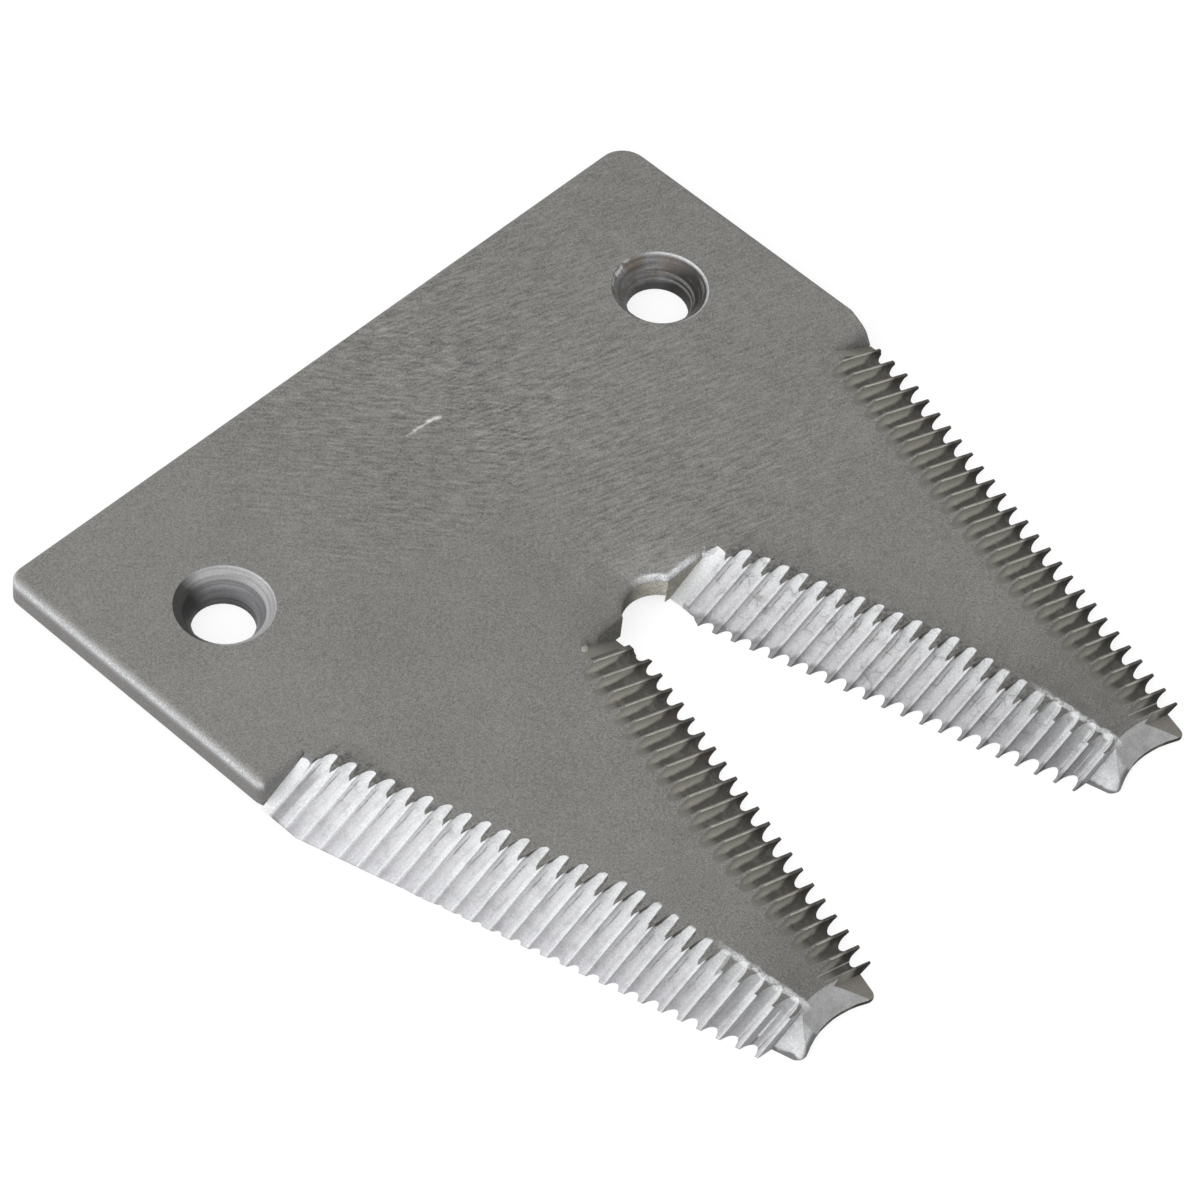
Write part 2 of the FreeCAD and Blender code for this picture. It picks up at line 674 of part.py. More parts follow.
section = build_section()
failed = [o.Label for o in doc.Objects if "Invalid" in o.State or "Error" in o.State]
if failed:
    raise RuntimeError(f"failed: {failed}")
shape = section.Shape
if shape.isNull() or not shape.isValid() or len(shape.Solids) != 1:
    raise RuntimeError("the section is not one valid solid")
os.makedirs("parts", exist_ok=True)
shape.exportStep(f"parts/{section.Label}.step")
print(section.Label, "volume", round(shape.Volume, 1), "box", shape.BoundBox)
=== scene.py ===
"""Sickle section on a pale studio floor: the stamped plate dressed in worn steel with painted light and
shade, with ground teeth.
"""

import math
from collections import namedtuple

import bmesh
import bpy
import numpy as np
from mathutils import Matrix, Vector


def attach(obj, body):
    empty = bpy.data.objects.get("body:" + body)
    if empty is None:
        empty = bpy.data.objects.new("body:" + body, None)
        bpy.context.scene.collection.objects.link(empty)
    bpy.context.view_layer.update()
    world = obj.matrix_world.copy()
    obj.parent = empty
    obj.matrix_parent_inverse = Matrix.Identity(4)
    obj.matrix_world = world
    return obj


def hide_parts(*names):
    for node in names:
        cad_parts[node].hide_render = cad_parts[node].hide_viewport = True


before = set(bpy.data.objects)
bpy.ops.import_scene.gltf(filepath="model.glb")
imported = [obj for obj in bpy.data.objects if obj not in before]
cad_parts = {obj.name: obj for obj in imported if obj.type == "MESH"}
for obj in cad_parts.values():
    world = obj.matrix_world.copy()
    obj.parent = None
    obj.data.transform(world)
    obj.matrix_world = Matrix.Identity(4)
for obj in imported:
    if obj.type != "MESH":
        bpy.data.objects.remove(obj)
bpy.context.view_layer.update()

bl_info = {
    "name": "Sickle section",
    "version": (1, 0, 0),
    "blender": (4, 5, 0),
    "location": "View3D > Sidebar > Section",
    "description": "Dresses a serrated knife section in worn steel and sets it on a studio floor",
    "category": "Object",
}

NODE = "sickle_section"
PIECE = "dressed_section"
MM = 0.001


def colour_property(label, note, *rgb):
    """Colour setting with its label, its note and its linear value."""
    return bpy.props.FloatVectorProperty(name=label, description=note, subtype="COLOR", size=4, min=0, max=1,
                                         default=(*rgb, 1))


def share_property(label, note, default):
    """Setting between none and all."""
    return bpy.props.FloatProperty(name=label, description=note, subtype="FACTOR", min=0, max=1,
                                   default=default)


class SteelFinish(bpy.types.PropertyGroup):
    """Colours and grain of the steel, with the colours of its painted light and shade."""

    plate_colour: colour_property("Plate", "Matt skin of the plate", 0.236, 0.232, 0.220)
    # Painted light: the rows that face the light are painted in these lighter copies of the ground steel,
    # from the tooth foot up to the grooves' upper ends
    bright_foot: colour_property("Bright foot", "Lower end of the polished grooves", 0.55, 0.55, 0.575)
    bright_groove: colour_property("Bright groove", "Middle of the polished grooves", 0.66, 0.66, 0.67)
    bright_spike: colour_property("Bright spike", "Upper end of the polished grooves", 0.75, 0.76, 0.77)
    # Mid grey for pits and fine cracks, also painted as shade along the grooves that face the light
    bright_crest: colour_property("Bright crest", "Ridges between the polished grooves", 0.20, 0.20, 0.205)
    # Painted shade: the rows that the light misses are painted these darker copies of the ground steel,
    # darkest at the tooth tips
    dark_foot: colour_property("Dark foot", "Tips of the dull teeth", 0.075, 0.065, 0.06)
    dark_groove: colour_property("Dark groove", "Shaded side of the dull grooves", 0.12, 0.112, 0.1)
    # Painted highlight: broken glints along the ridges of the rows that the light misses
    shadowed_ridge_glint: colour_property("Dark crest", "Rubbed dashes along the dull ridges", 0.36, 0.35, 0.33)
    # Painted highlight on the heel facets, ridge strips and top edges of the rows facing the light
    highlit: colour_property("Polished", "Plain facets beside the polished rows", 0.80, 0.81, 0.82)
    end_colour: colour_property("Ends", "Facet across each finger's end", 0.50, 0.50, 0.50)
    # Dark colour for smudges of dirt and a darker halo beside the rows, and for painted shade between and
    # along the grooves that face the light
    soot_and_shade: colour_property("Soot", "Dirt between the upper ends of the grooves", 0.09, 0.085, 0.078)
    # Painted highlight on the rolled edges facing the light and on the holes' mouths
    rim_highlight: colour_property("Rims", "Rubbed edges of the plate and its holes", 0.5, 0.5, 0.505)
    wall_colour: colour_property("Walls", "Lower half of the plate's side walls", 0.22, 0.215, 0.21)
    # Painted highlight: brightest line of the rolled edges that face the light
    shine_colour: colour_property("Shine", "Brightest line of the rolled edges", 0.62, 0.63, 0.64)
    rust_colour: colour_property("Rust", "Brownish film in the right hand hole", 0.17, 0.145, 0.12)
    hole_light: colour_property("Hole wall", "Side of the holes that the light reaches", 0.225, 0.227, 0.235)
    hole_dark: colour_property("Hole shade", "Side of the holes that the light misses", 0.03, 0.028, 0.026)
    grain_size: bpy.props.FloatProperty(
        name="Grain size", description="Width of one grain of the skin",
        unit="LENGTH", min=0.00005, max=0.002, default=0.00013)
    grain_contrast: bpy.props.FloatProperty(
        name="Grain contrast", description="How far single grains lie above or below the plate's colour",
        min=0, max=5, default=1.45)
    wrinkle_contrast: bpy.props.FloatProperty(
        name="Wrinkle contrast", description="How far the wrinkles lie above or below the plate's colour",
        min=0, max=5, default=1.15)
    soft_relief: share_property("Soft relief", "How much the burnished grooves shade like one slope", 0.93)
    roughness: share_property("Roughness", "Roughness of the plate's skin", 0.6)
    metal: share_property("Metal", "How metallic the skin looks", 0.3)


class ToothWear(bpy.types.PropertyGroup):
    """Sizes of the worn edge."""

    wear_depth: bpy.props.FloatProperty(
        name="Wear", description="How far single tooth tips are worn out of line",
        unit="LENGTH", min=0, max=0.0005, default=0.00012)
    wear_size: bpy.props.FloatProperty(
        name="Wear size", description="Distance over which the wear changes",
        unit="LENGTH", min=0.0002, max=0.01, default=0.0011)
    seed: bpy.props.IntProperty(name="Seed", description="Seed of all irregularities", min=0, default=7)


class StageLook(bpy.types.PropertyGroup):
    """Floor, lights and camera."""

    floor_colour: colour_property("Floor", "Colour of the floor and backdrop", 0.28, 0.28, 0.28)
    floor_glow: share_property("Floor glow", "How much the floor lightens its own shadows", 0.78)
    key_power: bpy.props.FloatProperty(
        name="Key light", description="Power of the soft light above and left of the plate",
        unit="POWER", min=0, default=0.54)
    sky_level: bpy.props.FloatProperty(
        name="Sky level", description="Strength of the even light from all round", min=0, max=3, default=0.62)
    camera_place: bpy.props.FloatVectorProperty(
        name="Camera place", description="Where the camera stands",
        subtype="TRANSLATION", unit="LENGTH", size=3, default=(-0.23961, -0.2072, 0.36218))
    camera_turn: bpy.props.FloatVectorProperty(
        name="Camera turn", description="How the camera is turned",
        subtype="EULER", size=3, default=(0.69375, -0.07657, -0.81248))
    focal_length: bpy.props.FloatProperty(
        name="Focal length", description="Focal length in millimetres on a 36 mm sensor",
        min=1, default=165.35)


# Node trees

NOISE_MIDDLE = 0.5


def link_node(tree, kind, inputs=(), **settings):
    """New node with its settings made and its inputs set or linked, by name or number."""
    node = tree.nodes.new(kind)
    for name, setting in settings.items():
        setattr(node, name, setting)
    for key, source in dict(inputs).items():
        socket = node.inputs[key]
        if isinstance(source, bpy.types.NodeSocket):
            tree.links.new(source, socket)
        else:
            socket.default_value = source
    return node


def maths(tree, operation, *terms, clamp=False):
    """Result of one Math node."""
    node = link_node(tree, "ShaderNodeMath", enumerate(terms), operation=operation, use_clamp=clamp)
    return node.outputs[0]


# Numbers of the Mix node's two inputs and its output, for each kind of value
MIX_SOCKETS = {"FLOAT": (2, 3, 0), "VECTOR": (4, 5, 1), "RGBA": (6, 7, 2)}


def mixed(tree, factor, first, second, kind="RGBA", blend="MIX"):
    """Colour, vector or number mixed from two others."""
    first_input, second_input, output = MIX_SOCKETS[kind]
    node = link_node(tree, "ShaderNodeMix", {0: factor, first_input: first, second_input: second},
                     data_type=kind, blend_type=blend)
    return node.outputs[output]


def ramp(tree, source, start, full, low=0.0, high=1.0):
    """Value carried from one range to another and held at its ends."""
    node = link_node(tree, "ShaderNodeMapRange", {"Value": source, "From Min": start, "From Max": full,
                                                  "To Min": low, "To Max": high})
    return node.outputs[0]


def vector_maths(tree, operation, *terms, scale=None):
    """Vector or number that comes out of one Vector Math node."""
    inputs = dict(enumerate(terms))
    if scale is not None:
        inputs["Scale"] = scale
    outputs = link_node(tree, "ShaderNodeVectorMath", inputs, operation=operation).outputs
    return outputs["Value"] if operation in ("DISTANCE", "DOT_PRODUCT", "LENGTH") else outputs[0]


def noise(tree, place, scale, detail, roughness=0.5, distortion=0.0, channel="Fac"):
    """Value or colour of a noise texture."""
    return link_node(tree, "ShaderNodeTexNoise", {
        "Vector": place, "Scale": scale, "Detail": detail, "Roughness": roughness,
        "Distortion": distortion}).outputs[channel]


def separated(tree, vector):
    """The three parts of a vector."""
    return link_node(tree, "ShaderNodeSeparateXYZ", {0: vector}).outputs


def in_millimetres(tree, place):
    """Place in the drawing's millimetres."""
    return vector_maths(tree, "SCALE", place, scale=1 / MM)


def distance_from(tree, x, y, point):
    """Distance across the plate from a point."""
    flat = link_node(tree, "ShaderNodeCombineXYZ", {0: x, 1: y}).outputs[0]
    return vector_maths(tree, "DISTANCE", flat, (*point, 0))


class NodeMaths:
    """Arithmetic in one node tree."""

    def __init__(self, tree):
        self.tree = tree

    def plus(self, first, second):
        return maths(self.tree, "ADD", first, second)

    def minus(self, first, second):
        return maths(self.tree, "SUBTRACT", first, second)

    def times(self, *terms):
        result = terms[0]
        for term in terms[1:]:
            result = maths(self.tree, "MULTIPLY", result, term)
        return result

    def divided(self, whole, by):
        return maths(self.tree, "DIVIDE", whole, by)

    def most(self, first, second):
        return maths(self.tree, "MAXIMUM", first, second)

    def size(self, value):
        return maths(self.tree, "ABSOLUTE", value)

    def without(self, share):
        return self.minus(1.0, share)


def new_group(name, kind, inputs, outputs):
    """Empty node group with named sockets, and what it is given and gives back."""
    tree = bpy.data.node_groups.new(name, kind)
    for label, socket_type, default in inputs:
        socket = tree.interface.new_socket(label, in_out="INPUT", socket_type=socket_type)
        if default is not None:
            socket.default_value = default
    for label, socket_type in outputs:
        tree.interface.new_socket(label, in_out="OUTPUT", socket_type=socket_type)
    return tree, tree.nodes.new("NodeGroupInput").outputs, tree.nodes.new("NodeGroupOutput").inputs


BLOTCH_NOISE = (140.0, 4.0, 0.6)
BLOTCH_SHARE = 0.3


def grain_group():
    """Sand-like grain with blotches, as a tint and a height."""
    tree, given, result = new_group("steel_grain", "ShaderNodeTree", [
        ("Place", "NodeSocketVector", None),
        ("Grain Size", "NodeSocketFloat", 0.0002),
        ("Contrast", "NodeSocketFloat", 0.2),
    ], [("Tint", "NodeSocketFloat"), ("Height", "NodeSocketFloat")])
    place = given["Place"]
    sums = NodeMaths(tree)
    grain = noise(tree, place, sums.divided(1.0, given["Grain Size"]), 1.0)
    blotch = noise(tree, place, *BLOTCH_NOISE)
    coarse = sums.times(sums.minus(blotch, NOISE_MIDDLE), BLOTCH_SHARE)
    fine = sums.times(sums.minus(grain, NOISE_MIDDLE), given["Contrast"])
    tree.links.new(sums.plus(sums.plus(coarse, fine), 1.0), result["Tint"])
    tree.links.new(grain, result["Height"])
    return tree


WRINKLE_STRETCH = (0.18, 1.0, 1.0)
WRINKLE_WAVER = 0.5


def wrinkle_group():
    """Fine wavy lines that run at an angle across the plate, from 0 to 1."""
    tree, given, result = new_group("rolled_wrinkles", "ShaderNodeTree", [
        ("Place", "NodeSocketVector", None),
        ("Turn", "NodeSocketFloat", 0.0),
        ("Spacing", "NodeSocketFloat", 0.00032),
    ], [("Line", "NodeSocketFloat")])
    turned = link_node(tree, "ShaderNodeVectorRotate", {
        "Vector": given["Place"], "Angle": given["Turn"]}, rotation_type="Z_AXIS").outputs[0]
    drawn_out = vector_maths(tree, "MULTIPLY", turned, WRINKLE_STRETCH)
    scale = maths(tree, "DIVIDE", 1.0, given["Spacing"])
    line = noise(tree, drawn_out, scale, 1.0, distortion=WRINKLE_WAVER)
    tree.links.new(line, result["Line"])
    return tree


SCRATCH_NOISE = (1900.0, 2.0)
SCRATCH_BREAKS = (0.3, 0.65, 0.2, 1.4)


def streak_group():
    """Mark along a straight line between two points, broken up by noise."""
    tree, given, result = new_group("scratch_mark", "ShaderNodeTree", [
        ("Place", "NodeSocketVector", None),
        ("Start", "NodeSocketVector", (0, 0, 0)),
        ("End", "NodeSocketVector", (0, 0, 0)),
        ("Width", "NodeSocketFloat", 0.0002),
    ], [("Mark", "NodeSocketFloat")])
    along = vector_maths(tree, "SUBTRACT", given["End"], given["Start"])
    offset = vector_maths(tree, "SUBTRACT", given["Place"], given["Start"])
    dot = vector_maths(tree, "DOT_PRODUCT", offset, along)
    square = vector_maths(tree, "DOT_PRODUCT", along, along)
    nearest = vector_maths(tree, "SCALE", along, scale=maths(tree, "DIVIDE", dot, square, clamp=True))
    distance = vector_maths(tree, "LENGTH", vector_maths(tree, "SUBTRACT", offset, nearest))
    broken = noise(tree, given["Place"], *SCRATCH_NOISE)
    reach = maths(tree, "MULTIPLY", given["Width"], ramp(tree, broken, *SCRATCH_BREAKS))
    mark = maths(tree, "SUBTRACT", 1.0, maths(tree, "DIVIDE", distance, reach), clamp=True)
    tree.links.new(mark, result["Mark"])
    return tree


# Where the rows of teeth lie, in millimetres and degrees as on the plate's drawing. A tooth line is a place
# along the plate, the line's distance from the plate's middle there and how fast that changes.

FINGER_CENTRE = 19.8
OUTER_LINE = (-20.0, 38.1, 0.2779)
INNER_LINE = (-25.5, 2.3, -0.2969)
TOP_LEVEL = 3.2
TOP_FALL_START = -44.3
TOP_FALL = 0.0765
BEVEL_ANGLE = 26
GROOVE_ANGLE = 25
HEEL_ANGLE = 32
END_ANGLE = 38
BEVEL_RISE = math.tan(math.radians(BEVEL_ANGLE))
GROOVE_RISE = math.tan(math.radians(GROOVE_ANGLE))
EDGE_LAND = 0.12
END_CENTRE_Y = -70.9
END_RADIUS = 8.0
ROOT_Y = -25.5
HOLE_X = 27
GROOVE_SETBACK = 1.5
GROOVE_PITCH = 1.7
FIRST_GROOVE_Y = -60.25
ROW_NOISE = (900.0, 2.0)
EDGE_WANDER = 4.0

ROW_VALUES = ("Inside", "Spike", "Phase", "Lit", "Along")
MARKS = ("ground", "hole", "facet", "end", "block")


def rows_group():
    """Place of a point within its row of teeth.

    Inside is its distance from the tooth line in millimetres. Spike is 0 where the bevel reaches the top
    face and 1 at the grooves' ends. Phase is 0 in the middle of a groove and 1 or -1 on its ridges. Lit is 1
    on the two rows that face the light. Along is its place along the plate in millimetres."""
    tree, given, result = new_group("tooth_rows", "ShaderNodeTree", [
        ("Place", "NodeSocketVector", None),
        ("Wander", "NodeSocketFloat", 0.2),
    ], [(name, "NodeSocketFloat") for name in ROW_VALUES])
    place = given["Place"]
    swing = separated(tree, noise(tree, place, *ROW_NOISE, channel="Color"))
    x, along, _ = separated(tree, in_millimetres(tree, place))
    sums = NodeMaths(tree)
    plus, minus, times, divided = sums.plus, sums.minus, sums.times, sums.divided
    across = sums.size(x)

    def line_x(line):
        start, at_start, slope = line
        return maths(tree, "MULTIPLY_ADD", minus(along, start), slope, at_start)

    is_outer = maths(tree, "GREATER_THAN", across, FINGER_CENTRE)
    is_left = maths(tree, "LESS_THAN", x, 0.0)
    from_inner = minus(across, line_x(INNER_LINE))
    from_outer = minus(line_x(OUTER_LINE), across)
    inside = mixed(tree, is_outer, from_inner, from_outer, "FLOAT")
    loose = times(minus(swing[0], NOISE_MIDDLE), given["Wander"])
    inside = maths(tree, "MULTIPLY_ADD", loose, EDGE_WANDER, inside)
    fall = maths(tree, "MINIMUM", minus(along, TOP_FALL_START), 0.0)
    top = maths(tree, "MULTIPLY_ADD", fall, TOP_FALL, TOP_LEVEL)
    bevel_top = divided(minus(top, EDGE_LAND), BEVEL_RISE)
    groove_top = plus(divided(top, GROOVE_RISE), GROOVE_SETBACK)
    spike = divided(minus(inside, bevel_top), minus(groove_top, bevel_top))
    turns = divided(minus(along, FIRST_GROOVE_Y), GROOVE_PITCH)
    part = minus(maths(tree, "FRACT", plus(turns, 0.5)), 0.5)
    drift = times(minus(swing[1], NOISE_MIDDLE), given["Wander"])
    phase = maths(tree, "MULTIPLY_ADD", part, 2.0, drift)
    lit = maths(tree, "COMPARE", is_outer, is_left, 0.5)
    for name, value in zip(ROW_VALUES, (inside, spike, phase, lit, along)):
        tree.links.new(value, result[name])
    return tree


# Paint of the steel. A fade starts at one value, is full at another and goes from its low to its high level.
# A band is full up to its near distance from the middle and gone at the far one. Places and distances are
# in millimetres, facings are parts of the unit normal, and spike and phase are those of the rows.

Fade = namedtuple("Fade", "start full low high", defaults=(0.0, 1.0))
Band = namedtuple("Band", "middle far near")
Patch = namedtuple("Patch", "middle half_width low high")

# Noise as scale, detail and roughness, the cells between the fine cracks, and the marks of turning

PITS = (700.0, 3.0, 0.7)
FINE = (2600.0, 2.0, 0.6)
CRAZE_SCALE = 700.0
TURNED_SCALE = (120, 120, 3600)
TURNED_DETAIL = 2.0

# Rows facing the light: painted light, lighter copies of the ground steel, with painted highlights on ridges
# and painted shade along the grooves

INNER_SIDE = Fade(-1.0, 1.0)
RELIEF_BY_SIDE = Fade(0.0, 1.0, 1.0, 0.2)
NEAR_TIP = Fade(-52.0, -56.5)
FOOT_TO_GROOVE = Fade(1.0, 4.6)
RIDGE_ACROSS = Fade(0.45, 0.8)
RIDGE_UP = Fade(1.5, 4.0, 0.3, 0.9)
SPIKE_UP = Fade(-0.7, 0.1)
PITTED = Fade(0.5, 0.72)
PITTED_SHARE = 0.3
CRAZE_WIDTH = Fade(0.05, 0.02)
CRAZE_PATCHES = Fade(0.45, 0.6)
CRAZE_SHARE = 0.4
HOLLOW_ACROSS = Band(0.3, 0.5, 0.1)
HOLLOW_UP = Fade(4.5, 1.0, 0.1, 0.3)
TIP_HOLLOW_ACROSS = Band(0.25, 0.6, 0.3)
TIP_HOLLOW_SHARE = 0.55
STRIP_ACROSS = Band(0.8, 0.16, 0.06)
BELOW_SPIKE = Fade(0.0, -0.3)
STRIP_BY_SIDE = Fade(0.0, 1.0, 0.5, 0.2)
SHADE_LINE_ACROSS = Band(0.42, 0.09, 0.03)
SHADE_LINE_UP = Fade(-1.6, -0.9)
SHADE_LINE_BREAKS = Fade(0.35, 0.6, 0.4, 1.0)
SHADE_LINE_SHARE = 0.6
INNER_FOOT = Fade(1.25, 0.8)
INNER_FOOT_SHARE = 0.8
HEEL_GAP_ALONG = Band(-17.65, 0.5, 0.3)
HEEL_GAP_UP = Fade(5.6, 4.6)
HEEL_GAP_SHARE = 0.55
GROOVE_END = Fade(0.86, 0.98)

# Painted shade between the upper ends of the grooves that face the light: its two sides across the grooves,
# and how it lies on them

LOW_SIDE = Fade(-0.35, 0.0, -1.0, -0.45)
LOW_SIDE_DRIFT = Fade(0.0, 0.9, 0.0, 0.2)
HIGH_SIDE = Fade(-0.3, 0.1, 1.0, 0.66)
HIGH_SIDE_DRIFT = Fade(0.1, 0.9, 0.0, 0.22)
PAST_LOW_SIDE = Fade(-0.04, 0.06)
PAST_HIGH_SIDE = Fade(-0.04, 0.04)
WEDGE_START = Fade(-0.4, -0.28)
DARK_LINE_START = Fade(-0.05, 0.0)
DARK_LINE_END = Fade(0.26, 0.06)
DARK_LINE_UP = Fade(0.9, 0.5)
DARK_LINE_SHARE = 0.95
WEDGE_SPECKS = Fade(0.35, 0.62, 0.1, 0.85)
WEDGE_SHADE_UP = Fade(1.15, 0.7)

# Rows that the light misses: painted shade, darker copies of the ground steel, with lighter strips and glints
# painted on the ridges

TOOTH_TIP = Fade(2.5, 1.5)
TIP_SPECKS = Fade(0.4, 0.6)
SHADE_EDGE = Fade(1.8, 3.4, 0.9, 0.48)
SHADE_EDGE_DRIFT = Fade(3.4, 6.0, 0.0, 0.2)
SHADE_BELOW_EDGE = Fade(-0.14, 0.1)
SHADE_UP = Fade(1.1, 0.0)
SHADE_SPECKS = Fade(0.2, 0.5, 0.75, 1.0)
RIDGE_LIGHT_ACROSS = Fade(0.92, 0.82)
RIDGE_LIGHT_UP = Fade(0.8, 0.0)
RIDGE_GLINT_ACROSS = Fade(0.7, 0.95)
RIDGE_GLINT_BREAKS = Fade(0.5, 0.62)
RIDGE_GLINT_INSIDE = Fade(1.8, 2.6)
RIDGE_GLINT_UP = Fade(0.0, -0.6)
RIDGE_GLINT_SHARE = 0.7
# Painted light: plate tone raised a little to offset the rows' shading, a much lighter tone painted on ridges
# and walls in shade, and a lighter copy of the groove shade for the shaded end blocks
GROOVE_TONE = (1.05, 1.04, 0.98, 1)
LIGHTER_TONE = (2.2, 2.18, 2.0, 1)
BLOCK_TONE = (2.2, 2.2, 2.2, 1)

# Heels and finger ends

OUTER_HEEL = Patch(-16.33, 0.76, 0.9, 5.0)
INNER_HEEL = Patch(-24.25, 1.0, 1.0, 5.7)
PATCH_RIM = 0.12
HEEL_SPECKS = Fade(0.2, 0.4, 0.7, 1.0)
RIM_INSIDE = Fade(1.65, 1.85)
RIM_FROM_END = Fade(END_RADIUS + 0.15, END_RADIUS + 0.4)
RIM_SPECKS = Fade(0.35, 0.6, 1.0, 0.7)
END_SPECKS = Fade(0.4, 0.7, 0.0, 0.4)
END_LIT_INSIDE = Fade(4.5, 4.2)

# Flat top beside the rows

FLAT_TOP = Fade(0.97, 0.995)
OUTER_HEAD = Fade(-16.8, -17.2)
LEFT_OF_HOLES = Fade(-30.0, -29.0, 1.0, 0.0)
INNER_HEAD = Fade(-24.6, -25.2)
HALO_START = Fade(-0.1, 0.3)
HALO_END = Fade(2.4, 0.9)
HALO_SPECKS = Fade(0.3, 0.65, 0.05, 0.6)
HALO_BY_LIGHT = Fade(0.0, 1.0, 0.15, 0.6)
BEFORE_END = Fade(-61.8, -60.8)
TOP_WEDGE_SHADE_UP = Fade(1.15, 0.8)
EDGE_GLINT_UP = Band(1.0, 0.22, 0.1)
EDGE_GLINT_START = Fade(-52.0, -55.0)
EDGE_GLINT_END = Fade(-61.6, -61.2)
EDGE_GLINT_BREAKS = Fade(0.35, 0.5)
EDGE_GLINT_FACING = Fade(0.5, 0.7)

# Side walls and the gap's root

LIT_SIDE = (-1.0, 0.3)
SIDE_ON = Fade(0.1, 0.5)
SHINE_TOP = Fade(2.95, 2.7)
SHINE_FOOT = Fade(2.2, 2.55)
SHINE_BREAKS = Fade(0.35, 0.6, 0.6, 1.0)
GLOW_TOP = Fade(3.15, 2.9)
GLOW_FOOT = Fade(1.8, 2.3)
GLOW_SHARE = 0.55
WALL_FACING = Fade(0.97, 0.4)
ROOT_REACH = Fade(7.5, 6.0)
ROOT_ALONG = Fade(-27.0, -26.0)
ROOT_TOP_FACING = Fade(0.3, 0.6)
ROOT_HIGHLIGHT_RIGHT = Fade(0.0, 1.5)
ROOT_HIGHLIGHT_TOP = Fade(0.97, 0.85)
ROOT_HIGHLIGHT_FOOT = Fade(0.2, 0.4)
ROOT_HIGHLIGHT_SPECKS = Fade(0.3, 0.6, 0.5, 1.0)
OFF_TOP = Fade(0.995, 0.97)
ROOT_WALL_FACING = Fade(0.3, 0.1)
ROOT_WALL_ALONG = Fade(-24.9, -24.7)

# Rivet holes

LEFT_HOLE = Fade(1.0, -1.0)
HOLE_LEFT_SIDE = (0.85, -0.5)
MOUTH = Fade(2.25, 2.4)
TAPER_SHADE = Fade(0.2, 0.6)
LIP_SHADE = Fade(0.2, 0.5, 0.0, 0.92)
RUST_PATCHES = Fade(0.35, 0.6)
RIGHT_SHADE = Fade(-0.3, -0.7)
RIM_LINE = Fade(2.95, 3.1)
RIM_LINE_SIDE = Fade(0.3, -0.2)
TURNED_DARK = Fade(0.45, 0.65, 0.0, 0.35)
TURNED_LIGHT = Fade(0.45, 0.35, 0.0, 0.35)
TURNED_LIGHT_SIDE = Fade(0.4, 0.0)
BORE_RING = Fade(1.0, 0.85, 0.0, 0.6)

# Tint over the whole plate

GRAIN_WHEN_CUT = Fade(0.0, 1.0, 1.0, 0.4)
FINGER_TINT = Fade(-38.0, -62.0, 1.0, 0.88)
LEFT_TINT = Fade(-36.0, -12.0, 1.06, 1.0)
MIDDLE_WRINKLES = (Fade(-24.0, -8.0), Fade(18.0, 6.0), Fade(-12.0, -4.0))
RIGHT_WRINKLES = (Fade(-6.0, 5.0), Fade(32.0, 14.0, 0.4, 1.0), Fade(-36.0, -20.0))
WRINKLE_TURNS = (0.85, 0.3)

# Marks: start, end, width and strength of scratches, then centre, reach and strength of smudges

SCRATCH_COLOUR = (0.8, 0.8, 0.78, 1)
SCRATCHES = (
    ((-2.2, 2.95), (-1.2, 2.85), 0.2, 0.45),
    ((-1.2, 2.9), (0.5, 2.8), 0.24, 0.7),
    ((0.5, 2.8), (1.4, 2.6), 0.3, 0.95),
    ((27.6, 4.3), (26.9, 4.35), 0.14, 0.6),
    ((26.4, 4.15), (25.4, 3.85), 0.22, 0.8),
    ((25.0, 3.75), (24.2, 3.2), 0.18, 0.5),
)

SMUDGES = (
    ((33.5, -17.5), 4.0, 0.2),
    ((-16.5, -43.0), 3.6, 0.1),
    ((19.5, -57.5), 8.0, 0.3),
    ((-20.0, -59.0), 7.5, 0.34),
    ((17.0, -38.0), 7.0, 0.08),
    ((-4.6, -23.5), 5.0, 0.3),
)
SMUDGE_SPECKS = Fade(0.3, 0.7, 0.6, 1.4)
SMUDGE_FACING = Fade(0.6, 0.9)

# Roughness and relief

ROUGH_PITS = (0.3, 0.7)
ROUGH_LESS = 0.05
ROUGH_MORE = 0.08
LIT_SLOPE = -0.44
SLOPE_RISE = 0.9
ROOT_SOFTNESS = 0.85
GRAIN_BUMP = 0.5
GRAIN_DEPTH = 0.00003


